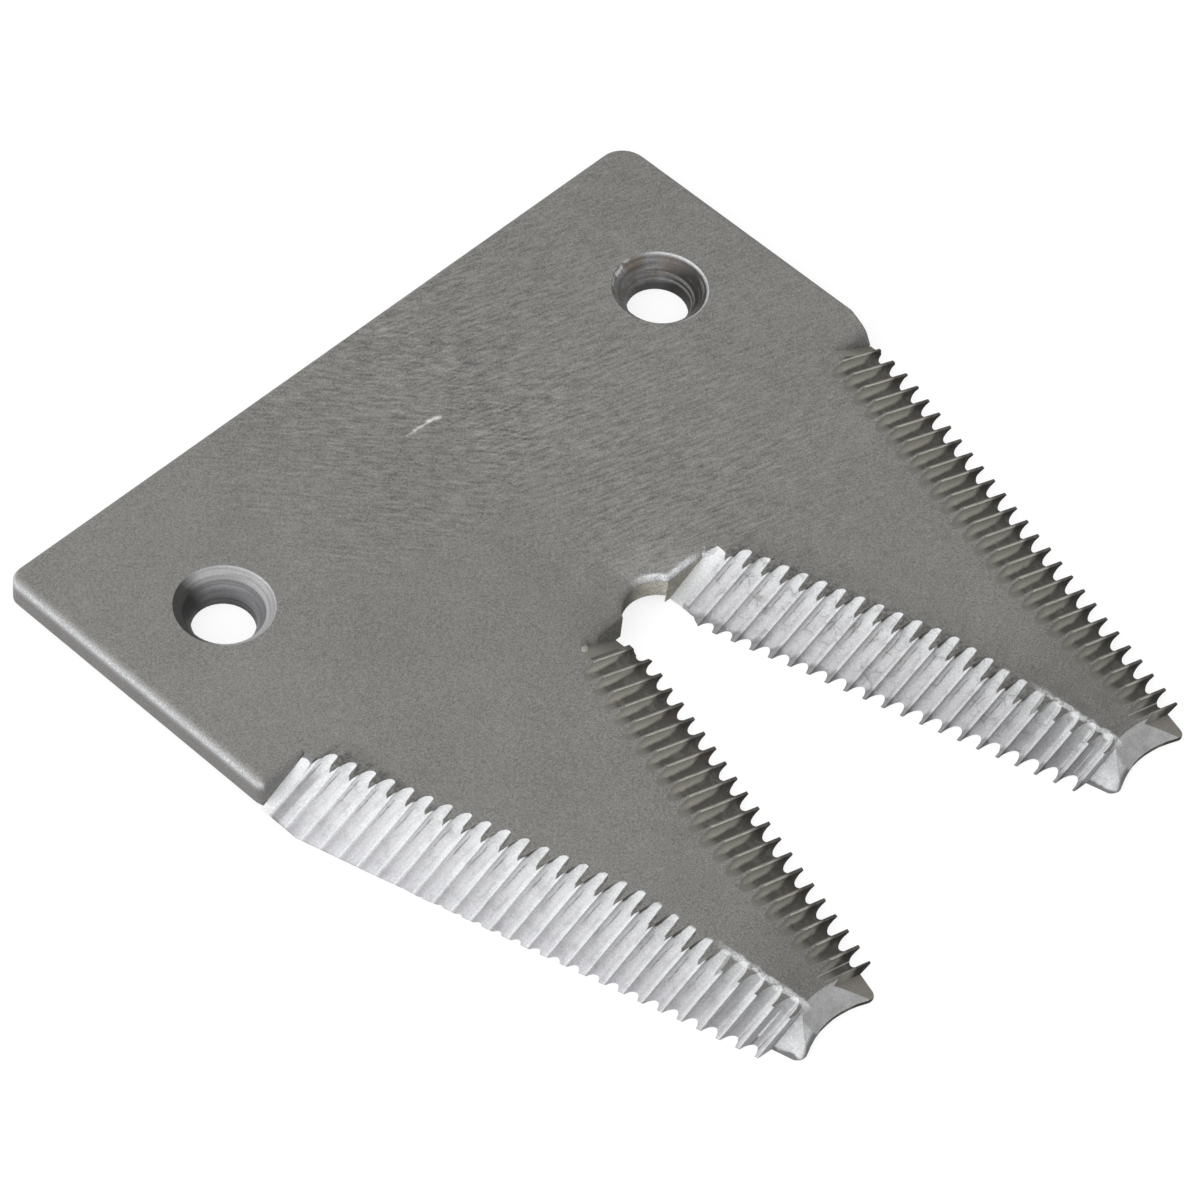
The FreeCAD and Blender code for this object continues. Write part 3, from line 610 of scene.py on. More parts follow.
class SteelPaint(NodeMaths):
    """Node tree of the steel, with the values that its parts share."""

    def __init__(self, tree, finish):
        super().__init__(tree)
        self.finish = finish
        self.place = link_node(tree, "ShaderNodeTexCoord").outputs["Object"]
        rows = link_node(tree, "ShaderNodeGroup", {"Place": self.place}, node_tree=rows_group()).outputs
        self.inside, self.spike, self.phase, self.lit, self.along = (rows[name] for name in ROW_VALUES)
        self.marks = {name: link_node(tree, "ShaderNodeAttribute", attribute_name=name).outputs["Fac"]
                      for name in MARKS}
        self.facing = link_node(tree, "ShaderNodeNewGeometry").outputs["Normal"]
        self.nx, self.ny, self.nz = separated(tree, self.facing)
        self.x, self.y, self.z = separated(tree, in_millimetres(tree, self.place))
        self.pits = noise(tree, self.place, *PITS)
        self.fine = noise(tree, self.place, *FINE)
        self.inner_side = self.fade(self.x, INNER_SIDE)
        self.outer_side = self.without(self.inner_side)
        self.near_tip = self.fade(self.along, NEAR_TIP)
        from_root = distance_from(tree, self.x, self.y, (0.0, ROOT_Y))
        self.near_root = self.times(self.fade(from_root, ROOT_REACH), self.fade(self.y, ROOT_ALONG))
        self.plate = finish.plate_colour
        self.groove_tone = self.over(1.0, self.plate, GROOVE_TONE, "MULTIPLY")
        self.lighter = self.over(1.0, self.plate, LIGHTER_TONE, "MULTIPLY")
        self.wedge, self.wedge_shade = self.shade_wedges()

    def over(self, factor, below, above, blend="MIX"):
        """Colour laid over another colour."""
        return mixed(self.tree, factor, below, above, blend=blend)

    def fade(self, value, span):
        return ramp(self.tree, value, *span)

    def band(self, value, span):
        """1 close to a middle value, falling to 0 at the far distance from it."""
        return ramp(self.tree, self.size(self.minus(value, span.middle)), span.far, span.near)

    def toward(self, shares):
        """How far the surface faces a direction across the plate."""
        return self.plus(self.times(self.nx, shares[0]), self.times(self.ny, shares[1]))

    def shade_wedges(self):
        """Where painted shade lies, speckled, between the lit grooves' upper ends, and its colour."""
        fade, times, most, spike = self.fade, self.times, self.most, self.spike
        low_side = self.plus(fade(spike, LOW_SIDE), fade(spike, LOW_SIDE_DRIFT))
        high_side = self.minus(fade(spike, HIGH_SIDE), fade(spike, HIGH_SIDE_DRIFT))
        past_low = self.minus(low_side, self.phase)
        past_high = self.minus(self.phase, high_side)
        wedge = most(fade(past_low, PAST_LOW_SIDE), fade(past_high, PAST_HIGH_SIDE))
        wedge = times(wedge, fade(spike, WEDGE_START), self.lit, self.without(self.near_tip))
        line = times(fade(past_high, DARK_LINE_START), fade(past_high, DARK_LINE_END),
                     fade(spike, DARK_LINE_UP))
        soot_and_shade = most(times(line, DARK_LINE_SHARE), fade(self.fine, WEDGE_SPECKS))
        wedge_shade = self.over(times(soot_and_shade, fade(spike, WEDGE_SHADE_UP)), self.plate, self.finish.soot_and_shade)
        return wedge, wedge_shade

    def highlit_rows(self):
        """Colour of the two rows that face the light: painted light, lighter than the plate, with painted
        highlights and painted shade along the grooves.
        """
        finish, fade, band, times, over = self.finish, self.fade, self.band, self.times, self.over
        relief = fade(self.inner_side, RELIEF_BY_SIDE)
        bright = over(fade(self.inside, FOOT_TO_GROOVE), finish.bright_foot, finish.bright_groove)
        # Painted highlight on the ridges, strongest on the outer row
        ridge = times(fade(self.size(self.phase), RIDGE_ACROSS), fade(self.inside, RIDGE_UP), relief)
        bright = over(ridge, bright, finish.bright_spike)
        bright = over(fade(self.spike, SPIKE_UP), bright, finish.bright_spike)
        bright = over(times(fade(self.pits, PITTED), PITTED_SHARE), bright, finish.bright_crest)
        cells = link_node(self.tree, "ShaderNodeTexVoronoi", {
            "Vector": self.place, "Scale": CRAZE_SCALE, "Randomness": 1.0},
            feature="DISTANCE_TO_EDGE").outputs["Distance"]
        craze = times(fade(cells, CRAZE_WIDTH), fade(self.pits, CRAZE_PATCHES), self.inner_side, CRAZE_SHARE)
        bright = over(craze, bright, finish.bright_crest)
        # Painted shade: a soft dark band along the middle of each groove low down; near the finger's end a
        # grey band along each groove
        hollow = times(band(self.phase, HOLLOW_ACROSS), fade(self.inside, HOLLOW_UP), relief)
        tip_hollow = times(band(self.phase, TIP_HOLLOW_ACROSS), self.near_tip, TIP_HOLLOW_SHARE)
        bright = over(self.most(hollow, tip_hollow), bright, finish.bright_crest)
        # Painted highlight: a light strip beside each ridge, against the ridge's cast shadow
        strip = times(band(self.phase, STRIP_ACROSS), fade(self.spike, BELOW_SPIKE),
                      fade(self.inner_side, STRIP_BY_SIDE))
        bright = over(strip, bright, finish.highlit)
        # Painted shade: a thin broken dark line down one wall of each groove
        shade_line = times(band(self.phase, SHADE_LINE_ACROSS), fade(self.spike, SHADE_LINE_UP),
                      fade(self.spike, BELOW_SPIKE), fade(self.fine, SHADE_LINE_BREAKS),
                      self.without(self.near_tip))
        bright = over(times(shade_line, SHADE_LINE_SHARE), bright, finish.soot_and_shade)
        foot = times(fade(self.inside, INNER_FOOT), self.inner_side, INNER_FOOT_SHARE)
        bright = over(foot, bright, finish.bright_crest)
        heel_gap = times(band(self.along, HEEL_GAP_ALONG), self.outer_side, fade(self.inside, HEEL_GAP_UP),
                         HEEL_GAP_SHARE)
        bright = over(heel_gap, bright, finish.bright_crest)
        bright = over(self.wedge, bright, self.wedge_shade)
        return over(fade(self.spike, GROOVE_END), bright, self.plate)

    def shadowed_rows(self):
        """Painted shade on the two rows that the light misses: dark sides and darkest tooth tips, with
        lighter strips and glints painted on the ridges.
        """
        finish, fade, times, over = self.finish, self.fade, self.times, self.over
        tip = fade(self.inside, TOOTH_TIP)
        edge = self.minus(fade(self.inside, SHADE_EDGE), fade(self.inside, SHADE_EDGE_DRIFT))
        shade = fade(self.minus(edge, self.phase), SHADE_BELOW_EDGE)
        shade = times(shade, fade(self.spike, SHADE_UP), fade(self.pits, SHADE_SPECKS))
        # Painted light: a lighter strip along each ridge of the shaded rows
        ridge_light = times(fade(self.phase, RIDGE_LIGHT_ACROSS), fade(self.spike, RIDGE_LIGHT_UP))
        shadowed = over(ridge_light, self.groove_tone, self.lighter)
        shadowed = over(self.most(shade, tip), shadowed, finish.dark_groove)
        shadowed = over(times(tip, fade(self.pits, TIP_SPECKS)), shadowed, finish.dark_foot)
        # Painted highlight: broken glints along the ridges
        ridge_glint = times(fade(self.phase, RIDGE_GLINT_ACROSS), fade(self.pits, RIDGE_GLINT_BREAKS),
                     fade(self.inside, RIDGE_GLINT_INSIDE), fade(self.spike, RIDGE_GLINT_UP))
        return over(times(ridge_glint, RIDGE_GLINT_SHARE), shadowed, finish.shadowed_ridge_glint)

    def long_patch(self, patch):
        """1 within a long patch with round ends that lies up the slope."""
        past = self.most(self.minus(patch.low, self.inside), self.minus(self.inside, patch.high))
        past = self.most(past, 0.0)
        aside = self.minus(self.along, patch.middle)
        away = maths(self.tree, "SQRT", self.plus(self.times(past, past), self.times(aside, aside)))
        return self.fade(away, Fade(patch.half_width - PATCH_RIM, patch.half_width, 1.0, 0.0))

    def heels_and_ends(self, cut):
        """Heel facets painted as highlights where they face the light and plate-toned where they don't, and
        the blocks and facets at the fingers' ends painted lighter where they face the light and as shade
        where they don't.
        """
        finish, fade, times, over = self.finish, self.fade, self.times, self.over
        grey = finish.bright_crest
        outer = times(self.long_patch(OUTER_HEEL), self.outer_side)
        patch = self.most(outer, times(self.long_patch(INNER_HEEL), self.inner_side))
        # Painted highlight on the heel facets that face the light; plate tone on the others
        heel = over(times(patch, fade(self.pits, HEEL_SPECKS)), grey, finish.highlit)
        heel = over(self.lit, self.groove_tone, heel)
        cut = over(self.most(self.marks["facet"], times(patch, self.lit, self.outer_side)), cut, heel)
        from_end = distance_from(self.tree, self.size(self.x), self.y, (FINGER_CENTRE, END_CENTRE_Y))
        rim = times(fade(self.inside, RIM_INSIDE), fade(from_end, RIM_FROM_END))
        # Painted light: grey with a lighter rim, for the end blocks and inner end facets that face the light
        worn = over(times(rim, fade(self.pits, RIM_SPECKS)), grey, finish.bright_spike)
        # Painted shade: end blocks on the side the light misses get a lighter copy of the groove shade
        shadowed_block = over(1.0, finish.dark_groove, BLOCK_TONE, "MULTIPLY")
        mottled = over(fade(self.pits, END_SPECKS), finish.end_colour, finish.wall_colour)
        mottled = over(times(self.lit, fade(self.inside, END_LIT_INSIDE)), mottled, worn)
        cut = over(self.marks["block"], cut, over(self.lit, shadowed_block, worn))
        return over(self.marks["end"], cut, mottled)

    def top_and_cuts(self, cut):
        """Flat top with a darker halo and painted shade beside the rows, the cuts, and a broken painted
        highlight along the line where they meet on the rows facing the light.
        """
        finish, fade, times = self.finish, self.fade, self.times
        heads = self.plus(times(fade(self.along, OUTER_HEAD), fade(self.x, LEFT_OF_HOLES)),
                          times(fade(self.along, INNER_HEAD), self.inner_side))
        halo = times(fade(self.spike, HALO_START), fade(self.spike, HALO_END), fade(self.pits, HALO_SPECKS),
                     fade(self.lit, HALO_BY_LIGHT))
        allowed = times(fade(self.nz, FLAT_TOP), heads, fade(self.along, BEFORE_END))
        skin = self.over(times(halo, allowed), self.plate, finish.soot_and_shade)
        skin = self.over(times(self.wedge, allowed, fade(self.spike, TOP_WEDGE_SHADE_UP)), skin, self.wedge_shade)
        colour = self.over(self.marks["ground"], skin, cut)
        # Painted highlight along the top edge of the rows facing the light, near the fingers' ends
        edge_glint = times(self.band(self.spike, EDGE_GLINT_UP), fade(self.along, EDGE_GLINT_START),
                      fade(self.along, EDGE_GLINT_END), self.lit, fade(self.pits, EDGE_GLINT_BREAKS))
        return self.over(times(edge_glint, fade(self.nz, EDGE_GLINT_FACING)), colour, finish.highlit)

    def side_walls(self, colour):
        """Rolled edges and side walls: painted highlights on the edges facing the light, and painted light on
        the rolled edge and wall at the gap's root.
        """
        finish, fade, times, over = self.finish, self.fade, self.times, self.over
        near_root, nz = self.near_root, self.nz
        # Painted highlights: a band and a bright broken line high on the walls that face the light
        side_on = fade(self.toward(LIT_SIDE), SIDE_ON)
        shine = times(fade(self.z, SHINE_TOP), fade(self.z, SHINE_FOOT), side_on)
        glow = times(fade(self.z, GLOW_TOP), fade(self.z, GLOW_FOOT), side_on)
        wall = over(fade(nz, WALL_FACING), colour, finish.wall_colour)
        wall = over(times(glow, GLOW_SHARE), wall, finish.rim_highlight)
        wall = over(times(shine, fade(self.fine, SHINE_BREAKS)), wall, finish.shine_colour)
        # Painted light at the gap's root: wall and rolled edge painted lighter against their shading, with a
        # painted highlight on the rolled edge
        wall = over(near_root, wall, self.groove_tone)
        wall = over(times(near_root, fade(nz, ROOT_TOP_FACING)), wall, self.plate)
        root_highlight = times(near_root, fade(self.x, ROOT_HIGHLIGHT_RIGHT), fade(nz, ROOT_HIGHLIGHT_TOP), fade(nz, ROOT_HIGHLIGHT_FOOT))
        wall = over(times(root_highlight, fade(self.pits, ROOT_HIGHLIGHT_SPECKS)), wall, finish.shine_colour)
        plain = times(self.without(self.marks["ground"]), self.without(self.marks["hole"]),
                      fade(nz, OFF_TOP))
        colour = over(plain, colour, wall)
        root_wall = times(near_root, self.inner_side, fade(nz, ROOT_WALL_FACING),
                          fade(self.y, ROOT_WALL_ALONG))
        return over(root_wall, colour, self.lighter)

    def rivet_holes(self, colour):
        """Walls of the two holes with the marks of turning: painted highlights on the mouths and on turning
        marks facing the light, painted shade on the sides and low in the bores, and a film of rust.
        """
        finish, fade, times, over = self.finish, self.fade, self.times, self.over
        left_side = self.toward(HOLE_LEFT_SIDE)
        taper = over(fade(left_side, TAPER_SHADE), finish.hole_light, finish.hole_dark)
        lip = over(fade(left_side, LIP_SHADE), finish.rim_highlight, finish.hole_dark)
        left = over(fade(self.z, MOUTH), taper, lip)
        rusty = over(fade(self.pits, RUST_PATCHES), finish.rust_colour, finish.hole_light)
        right = over(fade(left_side, RIGHT_SHADE), rusty, finish.hole_dark)
        # Painted highlight: a thin light rim line on the right hole
        rim_line = times(fade(self.z, RIM_LINE), fade(left_side, RIM_LINE_SIDE))
        right = over(rim_line, right, finish.shine_colour)
        bowl = over(fade(self.x, LEFT_HOLE), right, left)
        stretched = link_node(self.tree, "ShaderNodeMapping", {"Vector": self.place, "Scale": TURNED_SCALE})
        turned = noise(self.tree, stretched.outputs[0], 1.0, TURNED_DETAIL)
        bowl = over(fade(turned, TURNED_DARK), bowl, finish.hole_dark)
        light_turns = times(fade(turned, TURNED_LIGHT), fade(left_side, TURNED_LIGHT_SIDE))
        bowl = over(light_turns, bowl, finish.rim_highlight)
        # Painted shade low in the bore
        bowl = over(fade(self.z, BORE_RING), bowl, finish.hole_dark)
        return over(self.marks["hole"], colour, bowl)

    def tinted(self, colour, grain_tint):
        """Colour with its grain, its slow changes over the plate and its wrinkles."""
        fade, times, ground = self.fade, self.times, self.marks["ground"]
        strength = fade(self.most(ground, self.marks["hole"]), GRAIN_WHEN_CUT)
        slow = times(fade(self.y, FINGER_TINT), fade(self.x, LEFT_TINT))
        tint = self.plus(times(self.minus(grain_tint, 1.0), strength), slow)
        wrinkles = wrinkle_group()
        for turn, (left, right, low) in zip(WRINKLE_TURNS, (MIDDLE_WRINKLES, RIGHT_WRINKLES)):
            patch = times(fade(self.x, left), fade(self.x, right), fade(self.y, low))
            waves = link_node(self.tree, "ShaderNodeGroup", {"Place": self.place, "Turn": turn},
                              node_tree=wrinkles).outputs[0]
            waves = times(self.minus(waves, NOISE_MIDDLE), patch, self.without(ground),
                          self.finish.wrinkle_contrast)
            tint = self.plus(tint, waves)
        grey = link_node(self.tree, "ShaderNodeCombineColor", {0: tint, 1: tint, 2: tint}).outputs[0]
        return self.over(1.0, colour, grey, "MULTIPLY")

    def scratched(self, colour):
        """Colour with its scratches and smudges."""
        streak = streak_group()
        flat = vector_maths(self.tree, "MULTIPLY", self.place, (1, 1, 0))
        for start, stop, width, strength in SCRATCHES:
            mark = link_node(self.tree, "ShaderNodeGroup", {
                "Place": flat, "Start": (start[0] * MM, start[1] * MM, 0),
                "End": (stop[0] * MM, stop[1] * MM, 0), "Width": width * MM}, node_tree=streak)
            colour = self.over(self.times(mark.outputs["Mark"], strength), colour, SCRATCH_COLOUR)
        skin_only = self.times(self.without(self.marks["ground"]), self.fade(self.nz, SMUDGE_FACING))
        for centre, reach, strength in SMUDGES:
            away = vector_maths(self.tree, "DISTANCE", flat, (centre[0] * MM, centre[1] * MM, 0))
            patch = ramp(self.tree, away, 0.0, reach * MM, 1.0, 0.0)
            patch = self.times(patch, self.fade(self.pits, SMUDGE_SPECKS), skin_only, strength)
            colour = self.over(patch, colour, self.finish.soot_and_shade)
        return colour

    def relief(self, grain_height):
        """Normal of the grained skin, with the burnished grooves shaded like one plain slope."""
        slope = link_node(self.tree, "ShaderNodeCombineXYZ", {
            0: self.times(self.lit, LIT_SLOPE), 1: 0.0, 2: SLOPE_RISE}).outputs[0]
        soft = self.times(self.marks["ground"], self.without(self.marks["end"]), self.finish.soft_relief)
        soft = self.most(soft, self.times(self.near_root, ROOT_SOFTNESS))
        bent = vector_maths(self.tree, "NORMALIZE", mixed(self.tree, soft, self.facing, slope, "VECTOR"))
        return link_node(self.tree, "ShaderNodeBump", {"Strength": GRAIN_BUMP, "Distance": GRAIN_DEPTH,
                                                       "Height": grain_height, "Normal": bent}).outputs[0]


def steel_material(finish):
    """Steel: matt skin, ground teeth with painted light and shade on their rows, painted highlights on rims,
    scratches and smudges.
    """
    material = bpy.data.materials.new("steel_wear_and_painted_light")
    material.use_nodes = True
    tree = material.node_tree
    shader = tree.nodes["Principled BSDF"]
    paint = SteelPaint(tree, finish)
    grain = link_node(tree, "ShaderNodeGroup", {
        "Place": paint.place, "Grain Size": finish.grain_size, "Contrast": finish.grain_contrast},
        node_tree=grain_group()).outputs
    cut = paint.over(paint.lit, paint.shadowed_rows(), paint.highlit_rows())
    colour = paint.top_and_cuts(paint.heels_and_ends(cut))
    colour = paint.rivet_holes(paint.side_walls(colour))
    colour = paint.scratched(paint.tinted(colour, grain["Tint"]))
    tree.links.new(colour, shader.inputs["Base Color"])
    rough = ramp(tree, paint.pits, *ROUGH_PITS, finish.roughness - ROUGH_LESS, finish.roughness + ROUGH_MORE)
    tree.links.new(rough, shader.inputs["Roughness"])
    shader.inputs["Metallic"].default_value = finish.metal
    tree.links.new(paint.relief(grain["Height"]), shader.inputs["Normal"])
    return material


# Dressed plate

# How the faces are told apart, in millimetres, degrees and parts of the unit normal

HEAD_END_Y = -15.95
GAP_HEAD_Y = -23.7
GAP_HALF_WIDTH = 9
ROUND_ROOT_REACH = 4.6
HOLE_REACH = 4.6
LEVEL_ANGLE = 8
BEVEL_SLACK = 1.2
HEEL_SLACK = 0.8
END_SLACK = 3
UPWARD = 0.02
UPRIGHT = 0.2
BEVEL_SIDEWAYS = 0.2
HEEL_SIDEWAYS = 0.02
HOLE_FACING = (-0.9, 0.99)
INNER_TEETH_Y = -24.0
OUTER_TEETH_X = 30
BLOCK_Y = -61.35
END_FACET_Y = -59


def surface_masks(mesh):
    """Marks every triangle as ground, hole, heel facet, end facet or end block, by place and facing."""
    count = len(mesh.polygons)
    normals = np.zeros(count * 3)
    mesh.polygons.foreach_get("normal", normals)
    centres = np.zeros(count * 3)
    mesh.polygons.foreach_get("center", centres)
    x, y, _ = (centres.reshape(-1, 3) / MM).T
    nx, ny, nz = normals.reshape(-1, 3).T
    steep = np.degrees(np.arctan2(np.hypot(nx, ny), nz))
    in_gap_head = (np.abs(x) < GAP_HALF_WIDTH) | (np.hypot(x, y - ROOT_Y) < ROUND_ROOT_REACH)
    head = (y > HEAD_END_Y) | (in_gap_head & (y > GAP_HEAD_Y))
    ground = ~head & (nz > UPWARD) & (steep > LEVEL_ANGLE)
    upright = ~head & (np.abs(nz) <= UPRIGHT) & ((y < INNER_TEETH_Y) | (np.abs(x) > OUTER_TEETH_X))
    bevel = ground & (np.abs(steep - BEVEL_ANGLE) < BEVEL_SLACK) & (np.abs(ny) < BEVEL_SIDEWAYS)
    facet = ground & (np.abs(steep - HEEL_ANGLE) < HEEL_SLACK) & (np.abs(ny) < HEEL_SIDEWAYS)
    end = ground & (y < END_FACET_Y) & (np.abs(steep - END_ANGLE) < END_SLACK) & ~facet
    wall = (nz > HOLE_FACING[0]) & (nz < HOLE_FACING[1])
    hole = (np.hypot(np.abs(x) - HOLE_X, y) < HOLE_REACH) & wall
    marks = (ground | upright, hole, facet, end, bevel & (y < BLOCK_Y))
    for name, mark in zip(MARKS, marks):
        layer = mesh.attributes.new(name, "FLOAT", "FACE")
        layer.data.foreach_set("value", mark.astype(np.float32))


MERGE_DISTANCE = 2e-7
NORMAL_DIGITS = 2
PLANE_STEP = 0.00004
FLAT_AREA = 4e-6
SHARP_ANGLES = (42, 20, 1.5)


def sharp_and_smooth(mesh):
    """Merge the copy's doubles, then keep as sharp only the edges where two faces really meet at an angle."""
    work = bmesh.new()
    work.from_mesh(mesh)
    bmesh.ops.remove_doubles(work, verts=work.verts, dist=MERGE_DISTANCE)
    work.normal_update()
    planes = {}
    for face in work.faces:
        facing = tuple(round(part, NORMAL_DIGITS) for part in face.normal)
        level = round(face.normal.dot(face.verts[0].co) / PLANE_STEP)
        planes.setdefault((facing, level), []).append(face)
    flat = set()
    for faces in planes.values():
        if sum(f.calc_area() for f in faces) > FLAT_AREA:
            flat.update(f.index for f in faces)
    for face in work.faces:
        face.smooth = True
    for edge in work.edges:
        if len(edge.link_faces) != 2:
            continue
        a, b = edge.link_faces
        angle = math.degrees(a.normal.angle(b.normal, 0))
        flat_sides = (a.index in flat) + (b.index in flat)
        edge.smooth = angle < SHARP_ANGLES[flat_sides]
    work.to_mesh(mesh)
    work.free()


WEAR_SHARES = (2.0, 1.2, 0.0)
WEAR_HEIGHT = (0.0001, 0.0009, 1.0, 0.0)
WEAR_START = (-0.0172, -0.0182, 0.0, 1.0)


def wear_tree():
    """Pushes the thin edges in and out a little along the rows of teeth, as wear and grinding leave them."""
    tree, given, result = new_group("worn_edge", "GeometryNodeTree", [
        ("Plate", "NodeSocketGeometry", None),
        ("Depth", "NodeSocketFloat", 0.0001),
        ("Size", "NodeSocketFloat", 0.001),
        ("Seed", "NodeSocketFloat", 7.0),
        ("Steel", "NodeSocketMaterial", None),
    ], [("Plate", "NodeSocketGeometry")])
    position = link_node(tree, "GeometryNodeInputPosition").outputs[0]
    scale = maths(tree, "DIVIDE", 1.0, given["Size"])
    uneven = link_node(tree, "ShaderNodeTexNoise", {
        "Vector": position, "W": given["Seed"], "Scale": scale, "Detail": 1.0}, noise_dimensions="4D")
    swing = vector_maths(tree, "SUBTRACT", uneven.outputs["Color"], (NOISE_MIDDLE,) * 3)
    level = vector_maths(tree, "MULTIPLY", swing, WEAR_SHARES)
    _, along, height = separated(tree, position)
    low = ramp(tree, height, *WEAR_HEIGHT)
    toothed = ramp(tree, along, *WEAR_START)
    amount = maths(tree, "MULTIPLY", maths(tree, "MULTIPLY", low, toothed), given["Depth"])
    offset = vector_maths(tree, "SCALE", level, scale=amount)
    moved = link_node(tree, "GeometryNodeSetPosition", {"Geometry": given["Plate"], "Offset": offset})
    whole = link_node(tree, "GeometryNodeRealizeInstances", {0: moved.outputs[0]})
    painted = link_node(tree, "GeometryNodeSetMaterial", {"Geometry": whole.outputs[0],
                                                          "Material": given["Steel"]})
    tree.links.new(painted.outputs[0], result["Plate"])
    return tree


def set_inputs(modifier, tree, values):
    """Sets a node modifier's inputs by their sockets' identifiers."""
    for item in tree.interface.items_tree:
        if item.in_out == "INPUT" and item.name in values:
            modifier[item.identifier] = values[item.name]


def as_plain_mesh(piece):
    """Piece with all its modifiers worked into its mesh."""
    bpy.context.view_layer.update()
    graph = bpy.context.evaluated_depsgraph_get()
    mesh = bpy.data.meshes.new_from_object(piece.evaluated_get(graph), preserve_all_data_layers=True,
                                           depsgraph=graph)
    piece.modifiers.clear()
    piece.data = mesh
    return piece


FEWEST_FACES = 1000


class SECTION_OT_plate(bpy.types.Operator):
    """Dress the plate: a copy of the CAD surface with sharp and smooth edges, worn teeth and steel with
    painted light and shade
    """

    bl_idname = "section.plate"
    bl_label = "Plate"

    def execute(self, context):
        scene = context.scene
        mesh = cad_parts[NODE].data.copy()
        mesh.name = PIECE
        sharp_and_smooth(mesh)
        surface_masks(mesh)
        mesh.materials.clear()
        steel = steel_material(scene.steel_finish)
        mesh.materials.append(steel)
        piece = bpy.data.objects.new(PIECE, mesh)
        scene.collection.objects.link(piece)
        tree = wear_tree()
        worn = piece.modifiers.new("worn edge", "NODES")
        worn.node_group = tree
        wear = scene.tooth_wear
        set_inputs(worn, tree, {"Depth": wear.wear_depth, "Size": wear.wear_size,
                                "Seed": float(wear.seed), "Steel": steel})
        shading = piece.modifiers.new("even shading", "WEIGHTED_NORMAL")
        shading.keep_sharp = True
        shading.mode = "FACE_AREA_WITH_ANGLE"
        as_plain_mesh(piece)
        if len(piece.data.polygons) < FEWEST_FACES:
            raise RuntimeError("the dressed plate came out empty")
        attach(piece, "root")
        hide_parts(NODE)
        return {"FINISHED"}


SENSOR_WIDTH = 36
NEAREST = 0.01
FARTHEST = 20
FLOOR_RADIUS = 6.0
FLOOR_CORNERS = 96
FLOOR_GAP = 0.00005
FLOOR_ROUGHNESS = 0.9
FLOOR_GLOSS = 0.1
KEY_PLACE = (-1.15, 0.45, 1.0)
KEY_SIZE = (1.8, 1.8)
KEY_SHARE = 30
FILL_PLACE = (-0.5, -0.8, 0.7)
FILL_SIZE = (0.8, 0.8)
FILL_SHARE = 3
LIGHTS_AIM = (0, -0.02, 0)
WHITE = (1, 1, 1, 1)


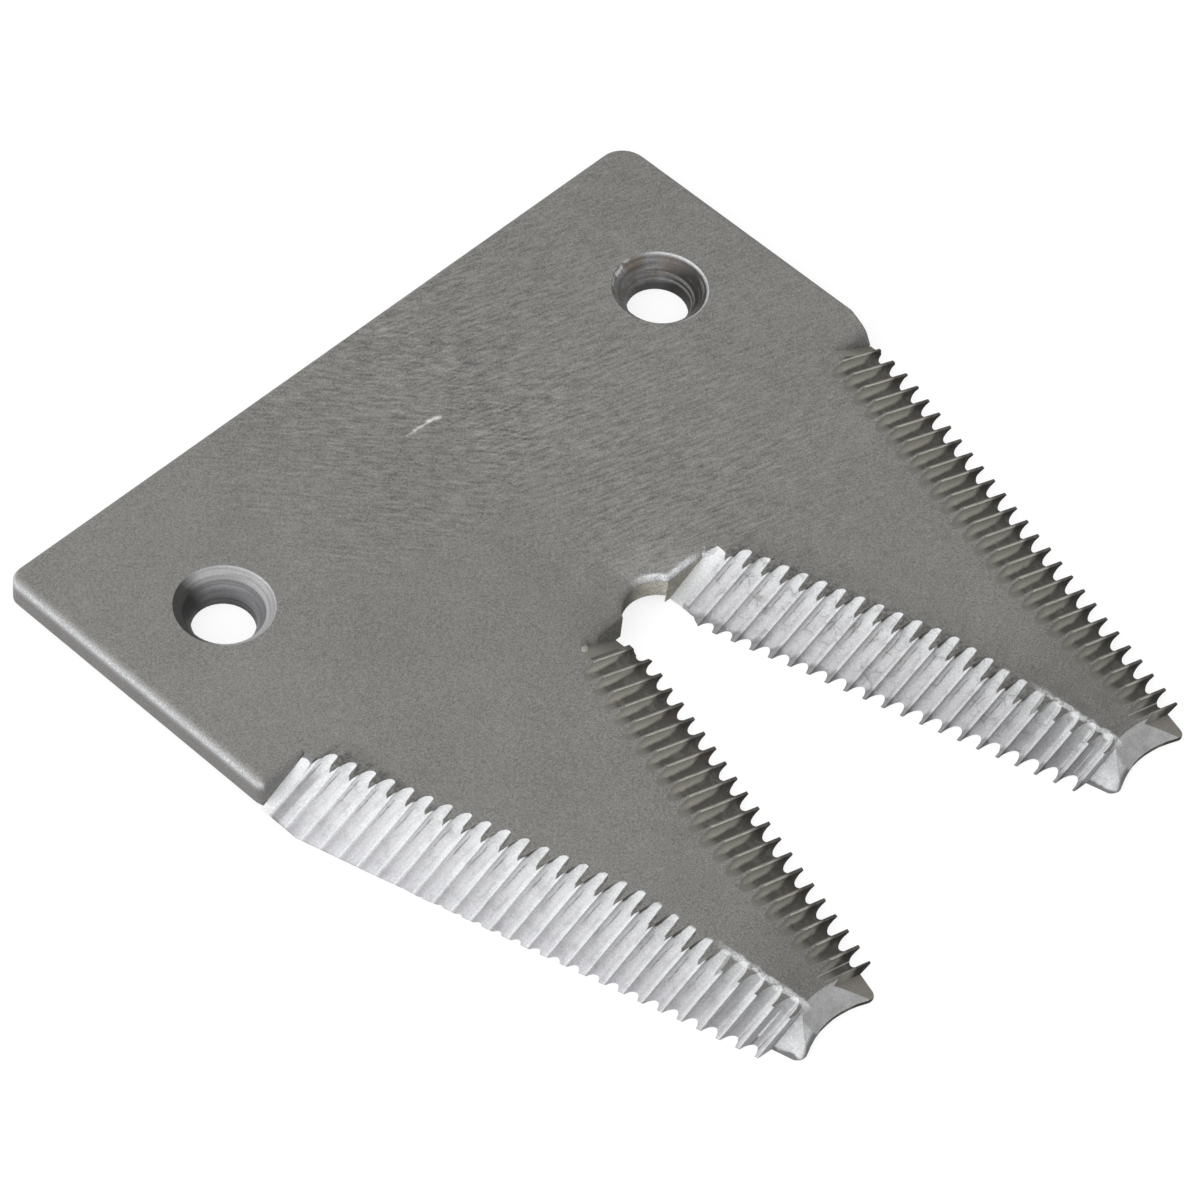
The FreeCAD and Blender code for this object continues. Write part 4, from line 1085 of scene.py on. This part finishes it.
class SECTION_OT_stage(bpy.types.Operator):
    """Set the stage: pale floor, soft lights and the camera at the photograph's angle"""

    bl_idname = "section.stage"
    bl_label = "Stage"

    def execute(self, context):
        scene = context.scene
        look = scene.stage_look
        self.add_floor(scene, look)
        self.add_lights(scene, look)
        camera = bpy.data.cameras.new("camera")
        camera.lens = look.focal_length
        camera.sensor_width = SENSOR_WIDTH
        camera.sensor_fit = "HORIZONTAL"
        camera.clip_start = NEAREST
        camera.clip_end = FARTHEST
        holder = bpy.data.objects.new("camera", camera)
        holder.location = look.camera_place
        holder.rotation_euler = look.camera_turn
        scene.collection.objects.link(holder)
        scene.camera = holder
        scene.view_settings.view_transform = "Standard"
        return {"FINISHED"}

    def add_floor(self, scene, look):
        """Large round floor, white to the camera away from the object's shadow."""
        work = bmesh.new()
        bmesh.ops.create_circle(work, cap_ends=True, segments=FLOOR_CORNERS, radius=FLOOR_RADIUS)
        mesh = bpy.data.meshes.new("floor")
        work.to_mesh(mesh)
        work.free()
        mesh.transform(Matrix.Translation((0, 0, -FLOOR_GAP)))
        floor = bpy.data.objects.new("floor", mesh)
        scene.collection.objects.link(floor)
        material = bpy.data.materials.new("pale_floor")
        material.use_nodes = True
        tree = material.node_tree
        shader = tree.nodes["Principled BSDF"]
        shader.inputs["Base Color"].default_value = look.floor_colour
        shader.inputs["Roughness"].default_value = FLOOR_ROUGHNESS
        shader.inputs["Specular IOR Level"].default_value = FLOOR_GLOSS
        path = link_node(tree, "ShaderNodeLightPath")
        mirrored = maths(tree, "MAXIMUM", path.outputs["Is Glossy Ray"], path.outputs["Is Transmission Ray"])
        seen = maths(tree, "MAXIMUM", path.outputs["Is Camera Ray"], mirrored)
        tree.links.new(maths(tree, "MULTIPLY", seen, look.floor_glow), shader.inputs["Emission Strength"])
        shader.inputs["Emission Color"].default_value = WHITE
        mesh.materials.append(material)

    def add_lights(self, scene, look):
        """One broad key light, a weak fill and an even sky."""
        for name, place, size, power in (
            ("key", KEY_PLACE, KEY_SIZE, look.key_power * KEY_SHARE),
            ("fill", FILL_PLACE, FILL_SIZE, look.key_power * FILL_SHARE),
        ):
            light = bpy.data.lights.new(name, "AREA")
            light.shape = "RECTANGLE"
            light.size, light.size_y = size
            light.energy = power
            lamp = bpy.data.objects.new(name, light)
            lamp.location = place
            lamp.rotation_euler = (Vector(LIGHTS_AIM) - Vector(place)).to_track_quat("-Z", "Y").to_euler()
            scene.collection.objects.link(lamp)
        world = bpy.data.worlds.new("studio")
        world.use_nodes = True
        scene.world = world
        tree = world.node_tree
        back = tree.nodes["Background"]
        path = link_node(tree, "ShaderNodeLightPath")
        seen = maths(tree, "MAXIMUM", path.outputs["Is Camera Ray"], path.outputs["Is Transmission Ray"])
        tree.links.new(mixed(tree, seen, look.sky_level, 1.0, "FLOAT"), back.inputs["Strength"])
        back.inputs["Color"].default_value = WHITE


class SECTION_PT_panel(bpy.types.Panel):
    """Sizes, colours and steps of the section"""

    bl_idname = "SECTION_PT_panel"
    bl_label = "Sickle section"
    bl_space_type = "VIEW_3D"
    bl_region_type = "UI"
    bl_category = "Section"

    def draw(self, context):
        for group in (context.scene.steel_finish, context.scene.tooth_wear, context.scene.stage_look):
            box = self.layout.box()
            for name in group.__annotations__:
                box.prop(group, name)
        for operator in (SECTION_OT_plate, SECTION_OT_stage):
            self.layout.operator(operator.bl_idname)


CLASSES = (SteelFinish, ToothWear, StageLook, SECTION_OT_plate, SECTION_OT_stage, SECTION_PT_panel)


def register():
    for cls in CLASSES:
        bpy.utils.register_class(cls)
    bpy.types.Scene.steel_finish = bpy.props.PointerProperty(type=SteelFinish)
    bpy.types.Scene.tooth_wear = bpy.props.PointerProperty(type=ToothWear)
    bpy.types.Scene.stage_look = bpy.props.PointerProperty(type=StageLook)


def unregister():
    del bpy.types.Scene.stage_look
    del bpy.types.Scene.tooth_wear
    del bpy.types.Scene.steel_finish
    for cls in reversed(CLASSES):
        bpy.utils.unregister_class(cls)


def clear_start_scene():
    """Removes what a new Blender file holds, and nothing of the frame."""
    for name in ("Cube", "Light", "Camera"):
        found = bpy.data.objects.get(name)
        if found is not None:
            bpy.data.objects.remove(found)


def main():
    clear_start_scene()
    register()
    bpy.ops.section.plate()
    bpy.ops.section.stage()


if __name__ == "__main__":
    main()
